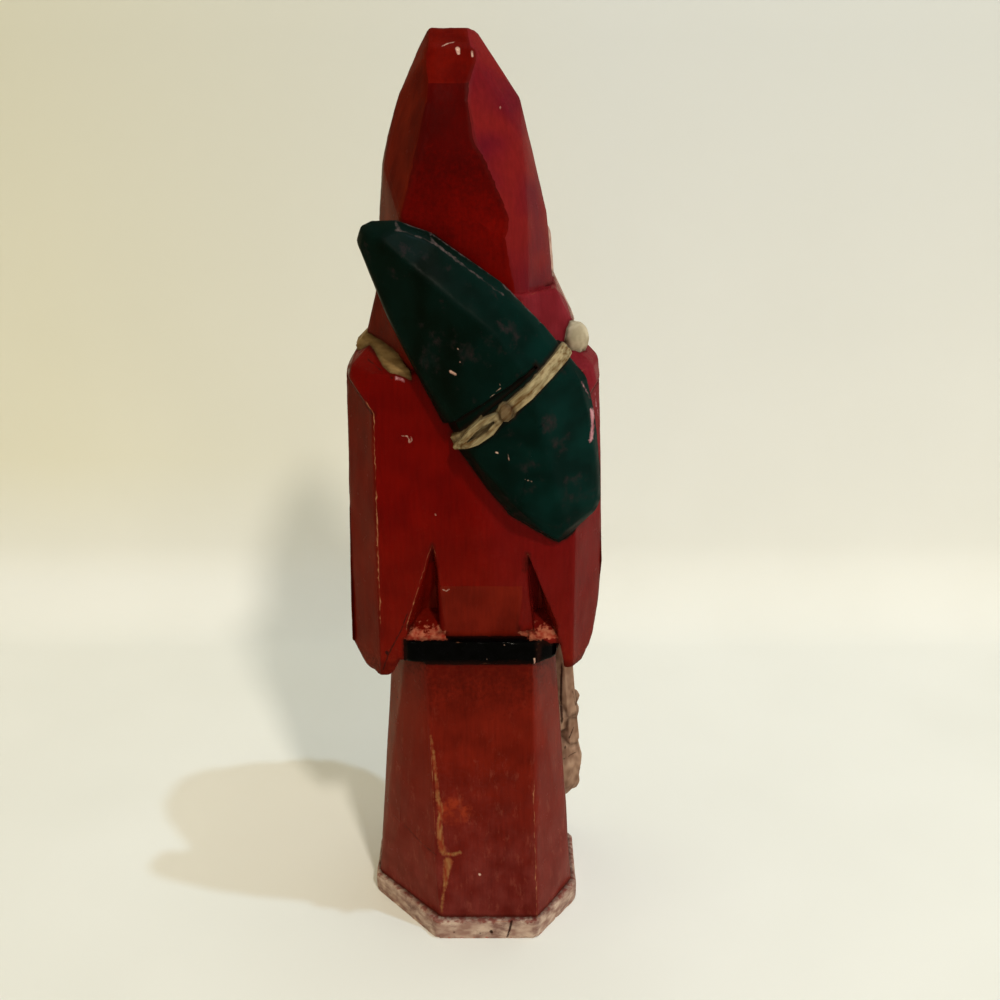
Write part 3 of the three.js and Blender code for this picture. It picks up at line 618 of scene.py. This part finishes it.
# The middle of an orange smear beside the scraped arris of the skirt, its reach, and how ragged it is.
SMEAR = (4.6, 22.3, 32.6)
SMEAR_REACH = (4.6, 2.2)
SMEAR_WOBBLE = 5.0

# The knot of the cord round the sack, its reach, and how far the cord is turned from level.
TIE_KNOT = (-7.2, 30, 130.2)
KNOT_REACH = (2.6, 1.7)
TIE_TURN = math.radians(-43)

# Places where the paints change, each from where the change starts to where it is complete.
CROWN_TO_COAT = (180, 156)
CUT_TIP = (185, 187)
ABOVE_COWL = (151.0, 152.5)
BELOW_CROWN = (152.5, 151.0)
COAT_BROWNING = (108, 74)
COAT_OLIVE = (105, 150)
LIT_COAT_HEIGHT = (105, 140)
LIT_COAT_SIDE = (0.0, -13.0)
SKIRT = (71, 69)
SKIRT_SIDES = (70, 66)
BELT_SHADOW_FALL = (58, 68)
UNDER_BELT = (70, 69)
VEILED = (64, 40)
DUSTY_FOOT = (46, 10)
SACK_LIGHTER = (4.0, -20.0)
TIE_TO_STRAP = (2, 6)
HEM_BLEED = (1.9, 2.7)
HEM_ONLY = (8.0, 7.0)
BARE_LEDGE = (76.9, 76.2)

# Turns of a facet, each from where a tone starts to where it is complete.
FACES_UP = (0.45, 0.48)
FACES_DOWN = (-0.09, -0.11)
FACES_BACK = (0.9, 0.95)
NOT_FRONT = (-0.1, 0.1)
FACES_LEFT = (0.5, 0.6)
FACES_RIGHT = (-0.22, -0.32)
FACES_ASIDE = (0.5, 0.6)

# How far the fine wander of the paints shifts heights, sides and rims.
HEIGHT_WANDER = 30.0
SIDE_WANDER = 8.0
LEDGE_WANDER = 6.0
HEM_WANDER = -5.0
CREASE_WANDER = 0.8

# The directions in which grain is drawn out.
UPRIGHT = (1, 1, 3)
LONG_UPRIGHT = (1, 1, 8)
EVEN = (1, 1, 1)

# How soft the rim of a painted part is, how fine the clouds in a paint are, how deep the marks of
# the brush are, and how glossy the paint is.
RIM = 0.12
CLOUD_DETAIL = 1.5
BRUSH_RELIEF = 0.08
PAINT_GLOSS = 0.03

# Paints: the darker and the lighter screen colour of each, and the size of its clouds.
SHADES = {
    "crown": ((60, 2, 1), (70, 2, 1), 9),
    "tip": ((80, 4, 1), (94, 8, 2), 5),
    "coat": ((90, 3, 1), (103, 5, 1), 9),
    "brick": ((90, 18, 8), (106, 24, 12), 7),
    "dusty": ((88, 26, 22), (108, 44, 40), 5),
    "lit flank": ((104, 21, 30), (118, 32, 42), 8),
    "plum": ((92, 14, 26), (110, 22, 23), 12),
    "olive": ((72, 8, 1), (94, 20, 5), 6),
    "dark green": ((1, 10, 5), (2, 19, 15), 6),
    "teal": ((1, 24, 21), (2, 35, 32), 6),
    "scuffed green": ((14, 26, 25), (50, 34, 38), 1.5),
    "hem": ((144, 112, 102), (192, 168, 154), 1.8),
    "tan": ((112, 86, 54), (146, 120, 82), 1.1),
    "skin": ((176, 112, 84), (196, 134, 104), 3),
    "hair": ((150, 132, 112), (190, 174, 152), 1.6),
    "fur": ((150, 112, 102), (186, 156, 144), 2.4),
    "cream": ((158, 146, 124), (188, 176, 154), 2.0),
    "beige": ((124, 94, 78), (164, 134, 114), 2.2),
    "black": ((1, 1, 1), (3, 3, 4), 2),
    "gold": ((132, 96, 34), (168, 128, 52), 1.4),
    "bare": ((146, 50, 38), (178, 104, 82), 1.2),
    "worn wood": ((128, 66, 44), (164, 114, 82), 1.0),
    "worn green": ((50, 46, 46), (94, 78, 78), 0.8),
    "scraped": ((128, 52, 30), (152, 108, 66), 0.9),
    "pink": ((150, 80, 92), (194, 142, 152), 0.8),
    "chipped": ((176, 132, 122), (206, 176, 160), 0.5),
    "paper": ((232, 233, 232), (238, 239, 239), 60),
}

# Single tones laid over the paints.
TONES = {
    "belt_shadow": (56, 8, 4),
    "lit side": (130, 40, 30),
    "veil": (140, 72, 58),
    "smear": (152, 54, 28),
    "rosy dirt": (92, 54, 52),
    "bled red": (110, 26, 22),
    "painted cord shade": (92, 66, 38),
    "cord": (146, 134, 104),
    "painted cord highlight": (178, 162, 128),
    "knot": (72, 48, 28),
    "crease_shade": (34, 9, 5),
    "cut": (38, 16, 12),
    "grey paper": (211, 213, 214),
    "plain white": (255, 255, 255),
    "warm paper shade": (253, 249, 232),
}


def linear(red, green, blue):
    """A screen colour, 0 to 255, as the shader's own colour."""
    def curve(level):
        share = level / 255
        return share / 12.92 if share <= 0.04045 else ((share + 0.055) / 1.055) ** 2.4
    return (curve(red), curve(green), curve(blue), 1)


def tone(name):
    """A single tone as the shader's own colour."""
    return linear(*TONES[name])


class Layers:
    """A material built up layer by layer, each over a share of what is under it."""

    def __init__(self, name):
        self.material = bpy.data.materials.new(name)
        self.material.use_nodes = True
        self.tree = self.material.node_tree
        self.shader = self.tree.nodes["Principled BSDF"]
        place = add(self.tree, "ShaderNodeTexCoord").outputs["Object"]
        self.place = add(self.tree, "ShaderNodeVectorMath", {0: place, "Scale": 1 / MM},
                         operation="SCALE").outputs["Vector"]
        self.across, _, self.height = self.parts(self.place)
        self.colour = None
        self.roughness = None

    def value(self, name):
        """What the mesh keeps for each point under a name."""
        return add(self.tree, "ShaderNodeAttribute", attribute_name=name).outputs["Fac"]

    def parts(self, vector):
        """The X, Y and Z of a vector."""
        return add(self.tree, "ShaderNodeSeparateXYZ", {0: vector}).outputs

    def facing(self):
        """The parts of the direction in which each facet faces."""
        kept = add(self.tree, "ShaderNodeAttribute", attribute_name="facing").outputs["Vector"]
        return self.parts(kept)

    def distance(self, point):
        """How far a place on the surface is from a point."""
        gap = add(self.tree, "ShaderNodeVectorMath", {0: self.place, 1: point}, operation="DISTANCE")
        return gap.outputs["Value"]

    def maths(self, operation, first, second, third=0.0):
        inputs = {0: first, 1: second, 2: third}
        return add(self.tree, "ShaderNodeMath", inputs, operation=operation).outputs[0]

    def times(self, first, second):
        return self.maths("MULTIPLY", first, second)

    def shifted(self, value, wander, reach):
        """A value with a wander added, up to a reach."""
        return self.maths("MULTIPLY_ADD", wander, reach, value)

    def grain(self, size, stretch=EVEN, detail=3.0, rough=0.55, shift=0.0, turn=0.0):
        """Cloudy variation with features of a size in millimetres, drawn out and turned."""
        scale = tuple(1 / (size * s) for s in stretch)
        place = self.place
        if turn:
            turned = add(self.tree, "ShaderNodeVectorRotate", {"Vector": place, "Angle": turn},
                         rotation_type="Y_AXIS")
            place = turned.outputs[0]
        spot = add(self.tree, "ShaderNodeMapping", {"Vector": place, "Location": (shift, shift, shift),
                                                    "Scale": scale}).outputs[0]
        return add(self.tree, "ShaderNodeTexNoise", {"Vector": spot, "Scale": 1.0, "Detail": detail,
                                                     "Roughness": rough}).outputs["Fac"]

    def ramp(self, value, low, high, start=0.0, end=1.0):
        """The shared ramp, in this material."""
        return ramp(self.tree, value, low, high, start, end)

    def blend(self, share, under, over, kind="MIX"):
        made = add(self.tree, "ShaderNodeMix", {0: share, 6: under, 7: over}, data_type="RGBA",
                   blend_type=kind)
        return made.outputs[2]

    def tint(self, share, under, over):
        """A colour with a named tone over a share of it."""
        return self.blend(share, under, tone(over))

    def cover(self, share, colour, roughness=None):
        """Lays a colour, and a roughness with it, over a share of what is there."""
        self.colour = colour if self.colour is None else self.blend(share, self.colour, colour)
        if roughness is not None:
            if self.roughness is None:
                self.roughness = self.maths("ADD", roughness, 0.0)
            else:
                change = self.maths("SUBTRACT", roughness, self.roughness)
                self.roughness = self.maths("MULTIPLY_ADD", change, share, self.roughness)

    def shade(self, name, stretch=EVEN, low=0.35, high=0.65, shift=0.0):
        """A paint with its cloudy variation."""
        dark, light, size = SHADES[name]
        share = self.ramp(self.grain(size, stretch, CLOUD_DETAIL, shift=shift), low, high)
        return self.blend(share, linear(*dark), linear(*light))

    def within(self, name, wander, bleed, wobble, soft=RIM):
        """One inside a kept form and nought outside it, with a wandering rim."""
        gap = self.shifted(self.value(name), wander, wobble)
        return self.ramp(gap, bleed - soft, bleed + soft, 1.0, 0.0)


def red_paint(work, wander):
    """Deep red: browner below the belt, dusty at the hem, with painted light on the facets turned to the
    sides: rosy to the right, an olive reflection to the left.
    """
    facing = work.facing()
    height = work.shifted(work.height, wander, HEIGHT_WANDER)

    # The crown is darkest. Painted highlight: the upward facets of the cut at its tip are a brighter red.
    # Painted light: the facets turned to the figure's right are plum red.
    red = work.blend(work.ramp(height, *CROWN_TO_COAT), work.shade("crown"), work.shade("coat"))
    tip_highlight = work.times(work.ramp(facing["Z"], *FACES_UP), work.ramp(work.height, *CUT_TIP))
    red = work.blend(tip_highlight, red, work.shade("tip", shift=7))
    lit_right_facets = work.times(work.ramp(facing["X"], *FACES_RIGHT), work.ramp(work.height, *ABOVE_COWL))
    red = work.blend(lit_right_facets, red, work.shade("plum", low=0.4, high=0.6, shift=34))

    # Painted light: the coat is lighter and pinker on its right side, as lit from there. It is brick red
    # on the loin panel and towards the skirt.
    lit_flank = work.ramp(work.shifted(work.across, wander, SIDE_WANDER), *LIT_COAT_SIDE)
    lit_flank = work.times(lit_flank, work.ramp(work.height, *BELOW_CROWN))
    lit_flank = work.times(lit_flank, work.ramp(height, *LIT_COAT_HEIGHT, 0.25, 1.0))
    red = work.blend(lit_flank, red, work.shade("lit flank", shift=28))
    # Painted reflection of the floor: the facets that face down and back are brick red.
    floor_reflection = work.times(work.ramp(facing["Z"], *FACES_DOWN), work.ramp(facing["Y"], *FACES_BACK))
    browning = work.ramp(height, *COAT_BROWNING, 0.0, 0.55)
    lower = work.maths("MAXIMUM", browning, work.ramp(height, *SKIRT))
    red = work.blend(work.maths("MAXIMUM", floor_reflection, lower), red, work.shade("brick", shift=20))

    # Painted reflection: an olive sheen of warm light lies over the facets that face left.
    olive_sheen = work.times(work.ramp(facing["X"], *FACES_LEFT), work.ramp(height, *COAT_OLIVE, 0.5, 0.95))
    olive_sheen = work.times(olive_sheen, work.ramp(facing["Y"], *NOT_FRONT))
    red = work.blend(olive_sheen, red, work.shade("olive", (1, 1, 2), shift=29))

    # The skirt is dusty at the foot, and darker under the belt with a painted shadow.
    red = work.blend(work.ramp(height, *DUSTY_FOOT, 0.0, 0.8), red, work.shade("dusty", shift=24))
    belt_shadow = work.times(work.ramp(height, *BELT_SHADOW_FALL, 0.0, 0.5), work.ramp(work.height, *UNDER_BELT))
    red = work.tint(belt_shadow, red, "belt_shadow")

    # Streaks of the brush.
    streak = work.ramp(work.grain(0.7, (1, 1, 9), detail=4.0), 0.3, 0.75, 0.88, 1.12)
    streaked = add(work.tree, "ShaderNodeVectorMath", {0: red, "Scale": streak}, operation="SCALE")
    red = streaked.outputs["Vector"]

    # The sides of the skirt are lighter, its foot has a pale veil, and there is one orange smear.
    sideways = work.maths("ABSOLUTE", facing["X"], 0.0)
    sides = work.times(work.ramp(sideways, *FACES_ASIDE, 0.0, 0.2), work.ramp(height, *SKIRT_SIDES))
    red = work.tint(sides, red, "lit side")
    veil = work.ramp(work.grain(2.0, (1, 1, 2.5), 5.0, 0.7, shift=37), 0.56, 0.74, 0.0, 0.4)
    red = work.tint(work.times(veil, work.ramp(height, *VEILED)), red, "veil")
    smear = work.ramp(work.shifted(work.distance(SMEAR), wander, SMEAR_WOBBLE), *SMEAR_REACH)
    patchy = work.ramp(work.grain(1.8, shift=57), 0.4, 0.6, 0.1, 0.55)
    return work.tint(work.times(smear, patchy), red, "smear")


def green_paint(work):
    """Very dark green, with painted light making it bluer and lighter on its right side, rubbed to plum
    grey in patches.
    """
    dark = work.shade("dark green", (1, 1, 1.4), shift=13)
    # Painted light: lighter teal towards the figure's right, where the light comes from.
    green = work.blend(work.ramp(work.across, *SACK_LIGHTER), dark, work.shade("teal", shift=15))
    patchy = work.ramp(work.grain(7, EVEN, 5.0, 0.7, shift=41), 0.56, 0.68, 0.0, 0.6)
    return work.blend(patchy, green, work.shade("scuffed green", (1, 1, 2), shift=31))


def hem_paint(work):
    """Off-white with rosy dirt rubbed into it, and the red above bleeding over its upper edge."""
    white = work.shade("hem", (2, 2, 1), shift=11)
    dirt = work.ramp(work.grain(2.6, (1.6, 1.6, 1), 5.0, 0.7, shift=47), 0.46, 0.68, 0.0, 0.75)
    dirty = work.tint(dirt, white, "rosy dirt")
    bleed = work.shifted(work.height, work.grain(1.3, detail=4.0, shift=19), HEM_WANDER)
    bleed = work.ramp(bleed, *HEM_BLEED, 0.0, 0.7)
    return work.tint(work.times(bleed, work.ramp(work.height, *HEM_ONLY)), dirty, "bled red")


def cord_paint(work):
    """Tan: brown on the shoulder strap; along the tie, streaks of painted shade and light with pale
    painted highlights; a dark knot.
    """
    # Painted shade and light: dark and light streaks along the tie, then pale highlights over them.
    cord_light_and_shade = work.ramp(work.grain(0.6, (14, 2, 1), shift=44, turn=TIE_TURN), 0.34, 0.66)
    cord = work.tint(cord_light_and_shade, tone("painted cord shade"), "cord")
    pale = work.ramp(work.grain(1.6, (3, 2, 1), shift=47, turn=TIE_TURN), 0.5, 0.66, 0.0, 0.6)
    cord = work.tint(pale, cord, "painted cord highlight")
    cord = work.tint(work.ramp(work.distance(TIE_KNOT), *KNOT_REACH, 0.0, 0.75), cord, "knot")
    return work.blend(work.ramp(work.across, *TIE_TO_STRAP), cord, work.shade("tan", (4, 4, 1), shift=23))


def cover_parts(work, wander):
    """Lays the paint of each part over the red, the last one on top."""
    satin = work.ramp(work.grain(3, shift=3), 0.3, 0.7, 0.28, 0.4)

    # Each part: its paint, how far that bleeds and wobbles at its rim, and its roughness.
    for part, paint, bleed, wobble, roughness in (
        ("skin", work.shade("skin", shift=3), 0.1, 0.5, 0.5),
        ("hair", work.shade("hair", (1, 1, 5), shift=8), 0.15, 0.5, 0.62),
        ("fur", work.shade("fur", shift=11), 0.15, 0.6, 0.6),
        ("trim", hem_paint(work), 0.1, 0.7, 0.6),
        ("bob", work.shade("cream", shift=12), 0.1, 0.4, 0.6),
        ("toy", work.shade("beige", (1, 1, 1.6), shift=2), 0.15, 0.6, 0.6),
        ("belt", work.shade("black", shift=17), 0.3, 0.5, 0.16),
        ("buckle", work.shade("gold", shift=9), 0.1, 0.3, 0.35),
        ("sack", green_paint(work), 0.3, 0.5, satin),
        ("strap", cord_paint(work), 0.1, 0.25, 0.55),
    ):
        work.cover(work.within(part, wander, bleed, wobble), paint, roughness)

    # Bare wood on the underside and at the feet of the notches, no higher than their ledge.
    ledge = work.ramp(work.shifted(work.height, wander, LEDGE_WANDER), *BARE_LEDGE)
    bare = work.times(work.within("bare", wander, 0.25, 1.6), ledge)
    work.cover(bare, work.shade("bare", shift=6), 0.8)

    # Painted shade: darker in the creases.
    crease_shade = work.ramp(work.shifted(work.value("crease"), wander, CREASE_WANDER), 0.0, 1.0, 0.62, 0.0)
    work.cover(crease_shade, tone("crease_shade"), 0.7)


def wear_arrises(work):
    """Dulls the arrises, and in places rubs them down to the wood."""
    arris = work.value("arris")
    dull = work.ramp(arris, 0.0, 0.9, 0.3, 0.0)
    dull = work.times(dull, work.ramp(work.value("belt"), 0.0, 0.3))
    work.roughness = work.maths("ADD", work.roughness, dull)
    patch = work.ramp(work.grain(3.2, detail=4.0, shift=51), 0.42, 0.62)
    rub = work.times(work.value("rub"), work.ramp(patch, 0.0, 1.0, 0.25, 1.0))
    stray = work.ramp(work.grain(5, detail=5.0, shift=61), 0.6, 0.72, 0.0, 0.35)
    rub = work.maths("MAXIMUM", rub, stray)

    # The worn band is wider but fainter on the sack.
    on_sack = work.ramp(work.value("sack"), 0.6, 0.3)
    width = work.times(rub, work.ramp(on_sack, 0.0, 1.0, 0.2, 0.75))
    worn = work.ramp(work.maths("SUBTRACT", arris, width), -0.14, 0.04, 1.0, 0.0)
    worn = work.times(worn, work.ramp(on_sack, 0.0, 1.0, 1.0, 0.65))
    wood = work.blend(on_sack, work.shade("worn wood", shift=71), work.shade("worn green", shift=73))
    work.cover(work.times(worn, work.ramp(rub, 0.05, 0.5)), wood, 0.7)


def cover_marks(work, wander):
    """Colours the scrapes, scuffs, chips and cuts."""
    # Each mark: its colour, how far that bleeds and wobbles, its softness, strength and roughness.
    for mark, colour, bleed, wobble, soft, strength, roughness in (
        ("scrape", work.shade("scraped", UPRIGHT, shift=81), 0.05, 1.1, 0.25, 0.8, 0.65),
        ("scuff", work.shade("pink", (1, 1, 5), shift=91), -0.1, 1.5, 0.25, 0.9, 0.65),
        ("chip", work.shade("chipped", shift=95), 0.0, 0.35, 0.1, 1.0, 0.7),
        ("cut", tone("cut"), 0.02, 0.3, 0.1, 0.9, 0.8),
    ):
        share = work.times(work.within(mark, wander, bleed, wobble, soft), strength)
        work.cover(share, colour, roughness)


def brush_marks(work):
    """Fine relief: marks of the brush and the grain of the wood under the paint."""
    brushed = work.times(work.grain(0.35, LONG_UPRIGHT), 0.5)
    pores = work.shifted(brushed, work.grain(1.6, UPRIGHT, shift=33), 0.8)
    relief = {"Strength": 0.25, "Distance": BRUSH_RELIEF * MM, "Height": pores}
    bump = add(work.tree, "ShaderNodeBump", relief)
    work.tree.links.new(bump.outputs[0], work.shader.inputs["Normal"])


def painted_wood():
    """Deep red paint over wood, with green, tan, black and white parts, worn arrises and painted shade in
    the creases.
    """
    work = Layers("painted_wood")
    wander = work.maths("SUBTRACT", work.grain(0.9, detail=4.0), 0.5)
    satin = work.ramp(work.grain(2.2, shift=5), 0.3, 0.7, 0.22, 0.28)
    work.cover(1.0, red_paint(work, wander), satin)
    cover_parts(work, wander)
    wear_arrises(work)
    cover_marks(work, wander)
    brush_marks(work)
    work.tree.links.new(work.colour, work.shader.inputs["Base Color"])
    work.tree.links.new(work.roughness, work.shader.inputs["Roughness"])
    work.shader.inputs["Specular IOR Level"].default_value = PAINT_GLOSS
    return work.material


def carved_santa():
    """The whole figure in one fine mesh, with its relief, its kept distances and its paint."""
    piece = copy_of("santa_figure", "carved_santa")
    for shaving in SHAVINGS:
        carve(piece, plane_block(*shaving))
    for corners in NOTCH_SIDES:
        carve(piece, wedge(corners))
    carve(piece, wedge(BELT_END), "UNION")
    lines = sharp_lines(piece)
    triangles(piece)
    mark_paints(piece)
    refine(piece, lines)
    points = positions(piece.data)
    write_paints(piece, points)
    write_edges(piece, points, lines)
    write_marks(piece, points)
    write_facing(piece)
    arris = read(piece, "arris")
    soften(piece, (arris < ARRIS_SOFTNESS) & (read(piece, "strap") > STRAP_DEPTH), ARRIS_ROUNDS)
    soften(piece, (arris < BELT_SOFTNESS) & (read(piece, "belt") < 0), BELT_ROUNDS)
    sink_marks(piece, positions(piece.data))
    calm = (arris / CALM_REACH).clip(CALM_LEAST, 1) * (positions(piece.data)[:, 2] > FOOT)
    group_of(piece, "facets", calm)
    ripple(piece, "facets", *HOLLOWS)
    ripple(piece, "facets", *TOOL_MARKS)
    torn = ((TORN_START - read(piece, "bare")) / TORN_REACH).clip(0, 1)
    group_of(piece, "torn", torn * (positions(piece.data)[:, 2] > SKIRT_HIGH))
    ripple(piece, "torn", *TORN_EDGES)
    piece.vertex_groups.clear()
    piece.data.polygons.foreach_set("material_index", np.zeros(len(piece.data.polygons), dtype=int))
    piece.data.materials.append(painted_wood())
    pick(piece)
    bpy.ops.object.shade_smooth_by_angle(angle=SMOOTH_ANGLE)
    return piece


# Where painted shade greys the paper towards the top of its sweep, and where it warms it, across and up.
PAPER_GREYING = (20, 200)
PAPER_SIDE = (-40, 150)
PAPER_RISE = (14, 60)
PAPER_ROUGHNESS = 0.95
PAPER_GLOSS = 0.1


def paper(name):
    """Pale paper, with painted shade: greyer towards the top of its sweep and warmer towards one side
    there.
    """
    work = Layers(name)
    pale = work.shade("paper", low=0.2, high=0.8)
    # Painted shade: grey towards the top of the sweep, and warm towards one side up there, where the cool
    # lamp reaches less.
    grey = work.tint(work.ramp(work.height, *PAPER_GREYING), pale, "grey paper")
    side = work.times(work.ramp(work.across, *PAPER_SIDE), work.ramp(work.height, *PAPER_RISE))
    warm_paper_shade = work.tint(side, tone("plain white"), "warm paper shade")
    work.cover(1.0, work.blend(1.0, grey, warm_paper_shade, "MULTIPLY"))
    work.tree.links.new(work.colour, work.shader.inputs["Base Color"])
    work.shader.inputs["Roughness"].default_value = PAPER_ROUGHNESS
    work.shader.inputs["Specular IOR Level"].default_value = PAPER_GLOSS

    # From behind, the paper doesn't hide the figure.
    behind = add(work.tree, "ShaderNodeNewGeometry").outputs["Backfacing"]
    clear = add(work.tree, "ShaderNodeBsdfTransparent").outputs[0]
    sides = {0: behind, 1: work.shader.outputs[0], 2: clear}
    seen = add(work.tree, "ShaderNodeMixShader", sides).outputs[0]
    work.tree.links.new(seen, work.tree.nodes["Material Output"].inputs["Surface"])
    work.material.use_transparent_shadow = False
    return work.material


def sweep():
    """The paper under and behind the figure, curving up away from the camera."""
    half_width = 900
    front = 1400
    bend_start = -128
    bend_radius = 28
    bend_steps = 24
    wall_height = 900
    profile = [(front, 0), (bend_start, 0)]
    for i in range(1, bend_steps + 1):
        angle = math.pi / 2 * i / bend_steps
        profile.append((bend_start - bend_radius * math.sin(angle), bend_radius * (1 - math.cos(angle))))
    profile.append((bend_start - bend_radius, wall_height))
    mesh = bpy.data.meshes.new("paper_sweep")
    points = [(side * half_width * MM, y * MM, z * MM) for y, z in profile for side in (-1, 1)]
    faces = [(2 * i, 2 * i + 2, 2 * i + 3, 2 * i + 1) for i in range(len(profile) - 1)]
    mesh.from_pydata(points, [], faces)
    floor = bpy.data.objects.new("paper_sweep", mesh)
    bpy.context.scene.collection.objects.link(floor)
    mesh.materials.append(paper("warm_paper"))
    pick(floor)
    bpy.ops.object.shade_smooth()
    floor.visible_glossy = False


# Lamps: a warm one high behind the camera, and a small cool one over the figure.
LAMPS = {
    "room_light": {"place": (-384, 1020, 1200), "size": 130, "power": 10.8, "colour": (1.0, 0.91, 0.76)},
    "window_light": {"place": (-158, 82, 640), "size": 12, "power": 0.95, "colour": (0.58, 0.81, 1.0)},
}
AIM = (0, 0, 90)

# Light from the room itself: low from the figure's right, low from its left, and evenly all round.
ROOM_RIGHT = (0.7, 0.66, 0.6)
ROOM_LEFT = (0.3, 0.23, 0.06)
ROOM_ROUND = (0.5, 0.44, 0.29)

# The directions of that light, each from where its share starts to where it is complete.
FROM_LOW = (0.7, 0.1)
FROM_RIGHT = (-0.3, -1)
FROM_LEFT = (0.3, 1)


def lamp(name, place, size, power, colour):
    """A round lamp aimed at the middle of the figure."""
    data = bpy.data.lights.new(name, "AREA")
    data.shape = "DISK"
    data.size = size * MM
    data.energy = power
    data.color = colour
    made = bpy.data.objects.new(name, data)
    bpy.context.scene.collection.objects.link(made)
    made.location = Vector(place) * MM
    made.rotation_euler = (Vector(AIM) * MM - made.location).to_track_quat("-Z", "Y").to_euler()


def room():
    """Light from all round, stronger from low at the two sides."""
    world = bpy.data.worlds.new("room")
    bpy.context.scene.world = world
    world.use_nodes = True
    tree = world.node_tree
    way = add(tree, "ShaderNodeTexCoord").outputs["Generated"]
    parts = add(tree, "ShaderNodeSeparateXYZ", {0: way}).outputs
    low = ramp(tree, parts["Z"], *FROM_LOW)
    glow = ROOM_ROUND
    for side, colour in ((FROM_RIGHT, ROOM_RIGHT), (FROM_LEFT, ROOM_LEFT)):
        share = ramp(tree, parts["X"], *side)
        share = add(tree, "ShaderNodeMath", {0: share, 1: low}, operation="MULTIPLY").outputs[0]
        more = {0: share, 1: colour, 2: glow}
        glow = add(tree, "ShaderNodeVectorMath", more, operation="MULTIPLY_ADD").outputs[0]
    tree.links.new(glow, tree.nodes["Background"].inputs["Color"])


# The camera: its lens, its place, how far it is tilted up from straight down, and its turn.
LENS = 46.8
CAMERA_PLACE = (-6, 280, 203)
CAMERA_TILT = math.radians(70)
CAMERA_TURN = math.radians(180)


def camera():
    """The camera, looking down at the figure's back."""
    data = bpy.data.cameras.new("camera")
    data.lens = LENS
    made = bpy.data.objects.new("camera", data)
    bpy.context.scene.collection.objects.link(made)
    made.location = Vector(CAMERA_PLACE) * MM
    made.rotation_euler = (CAMERA_TILT, 0, CAMERA_TURN)
    bpy.context.scene.camera = made
    bpy.context.scene.view_settings.view_transform = "Standard"


figure = carved_santa()
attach(figure, "root")
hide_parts("santa_figure")
sweep()
for name, light in LAMPS.items():
    lamp(name, **light)
room()
camera()
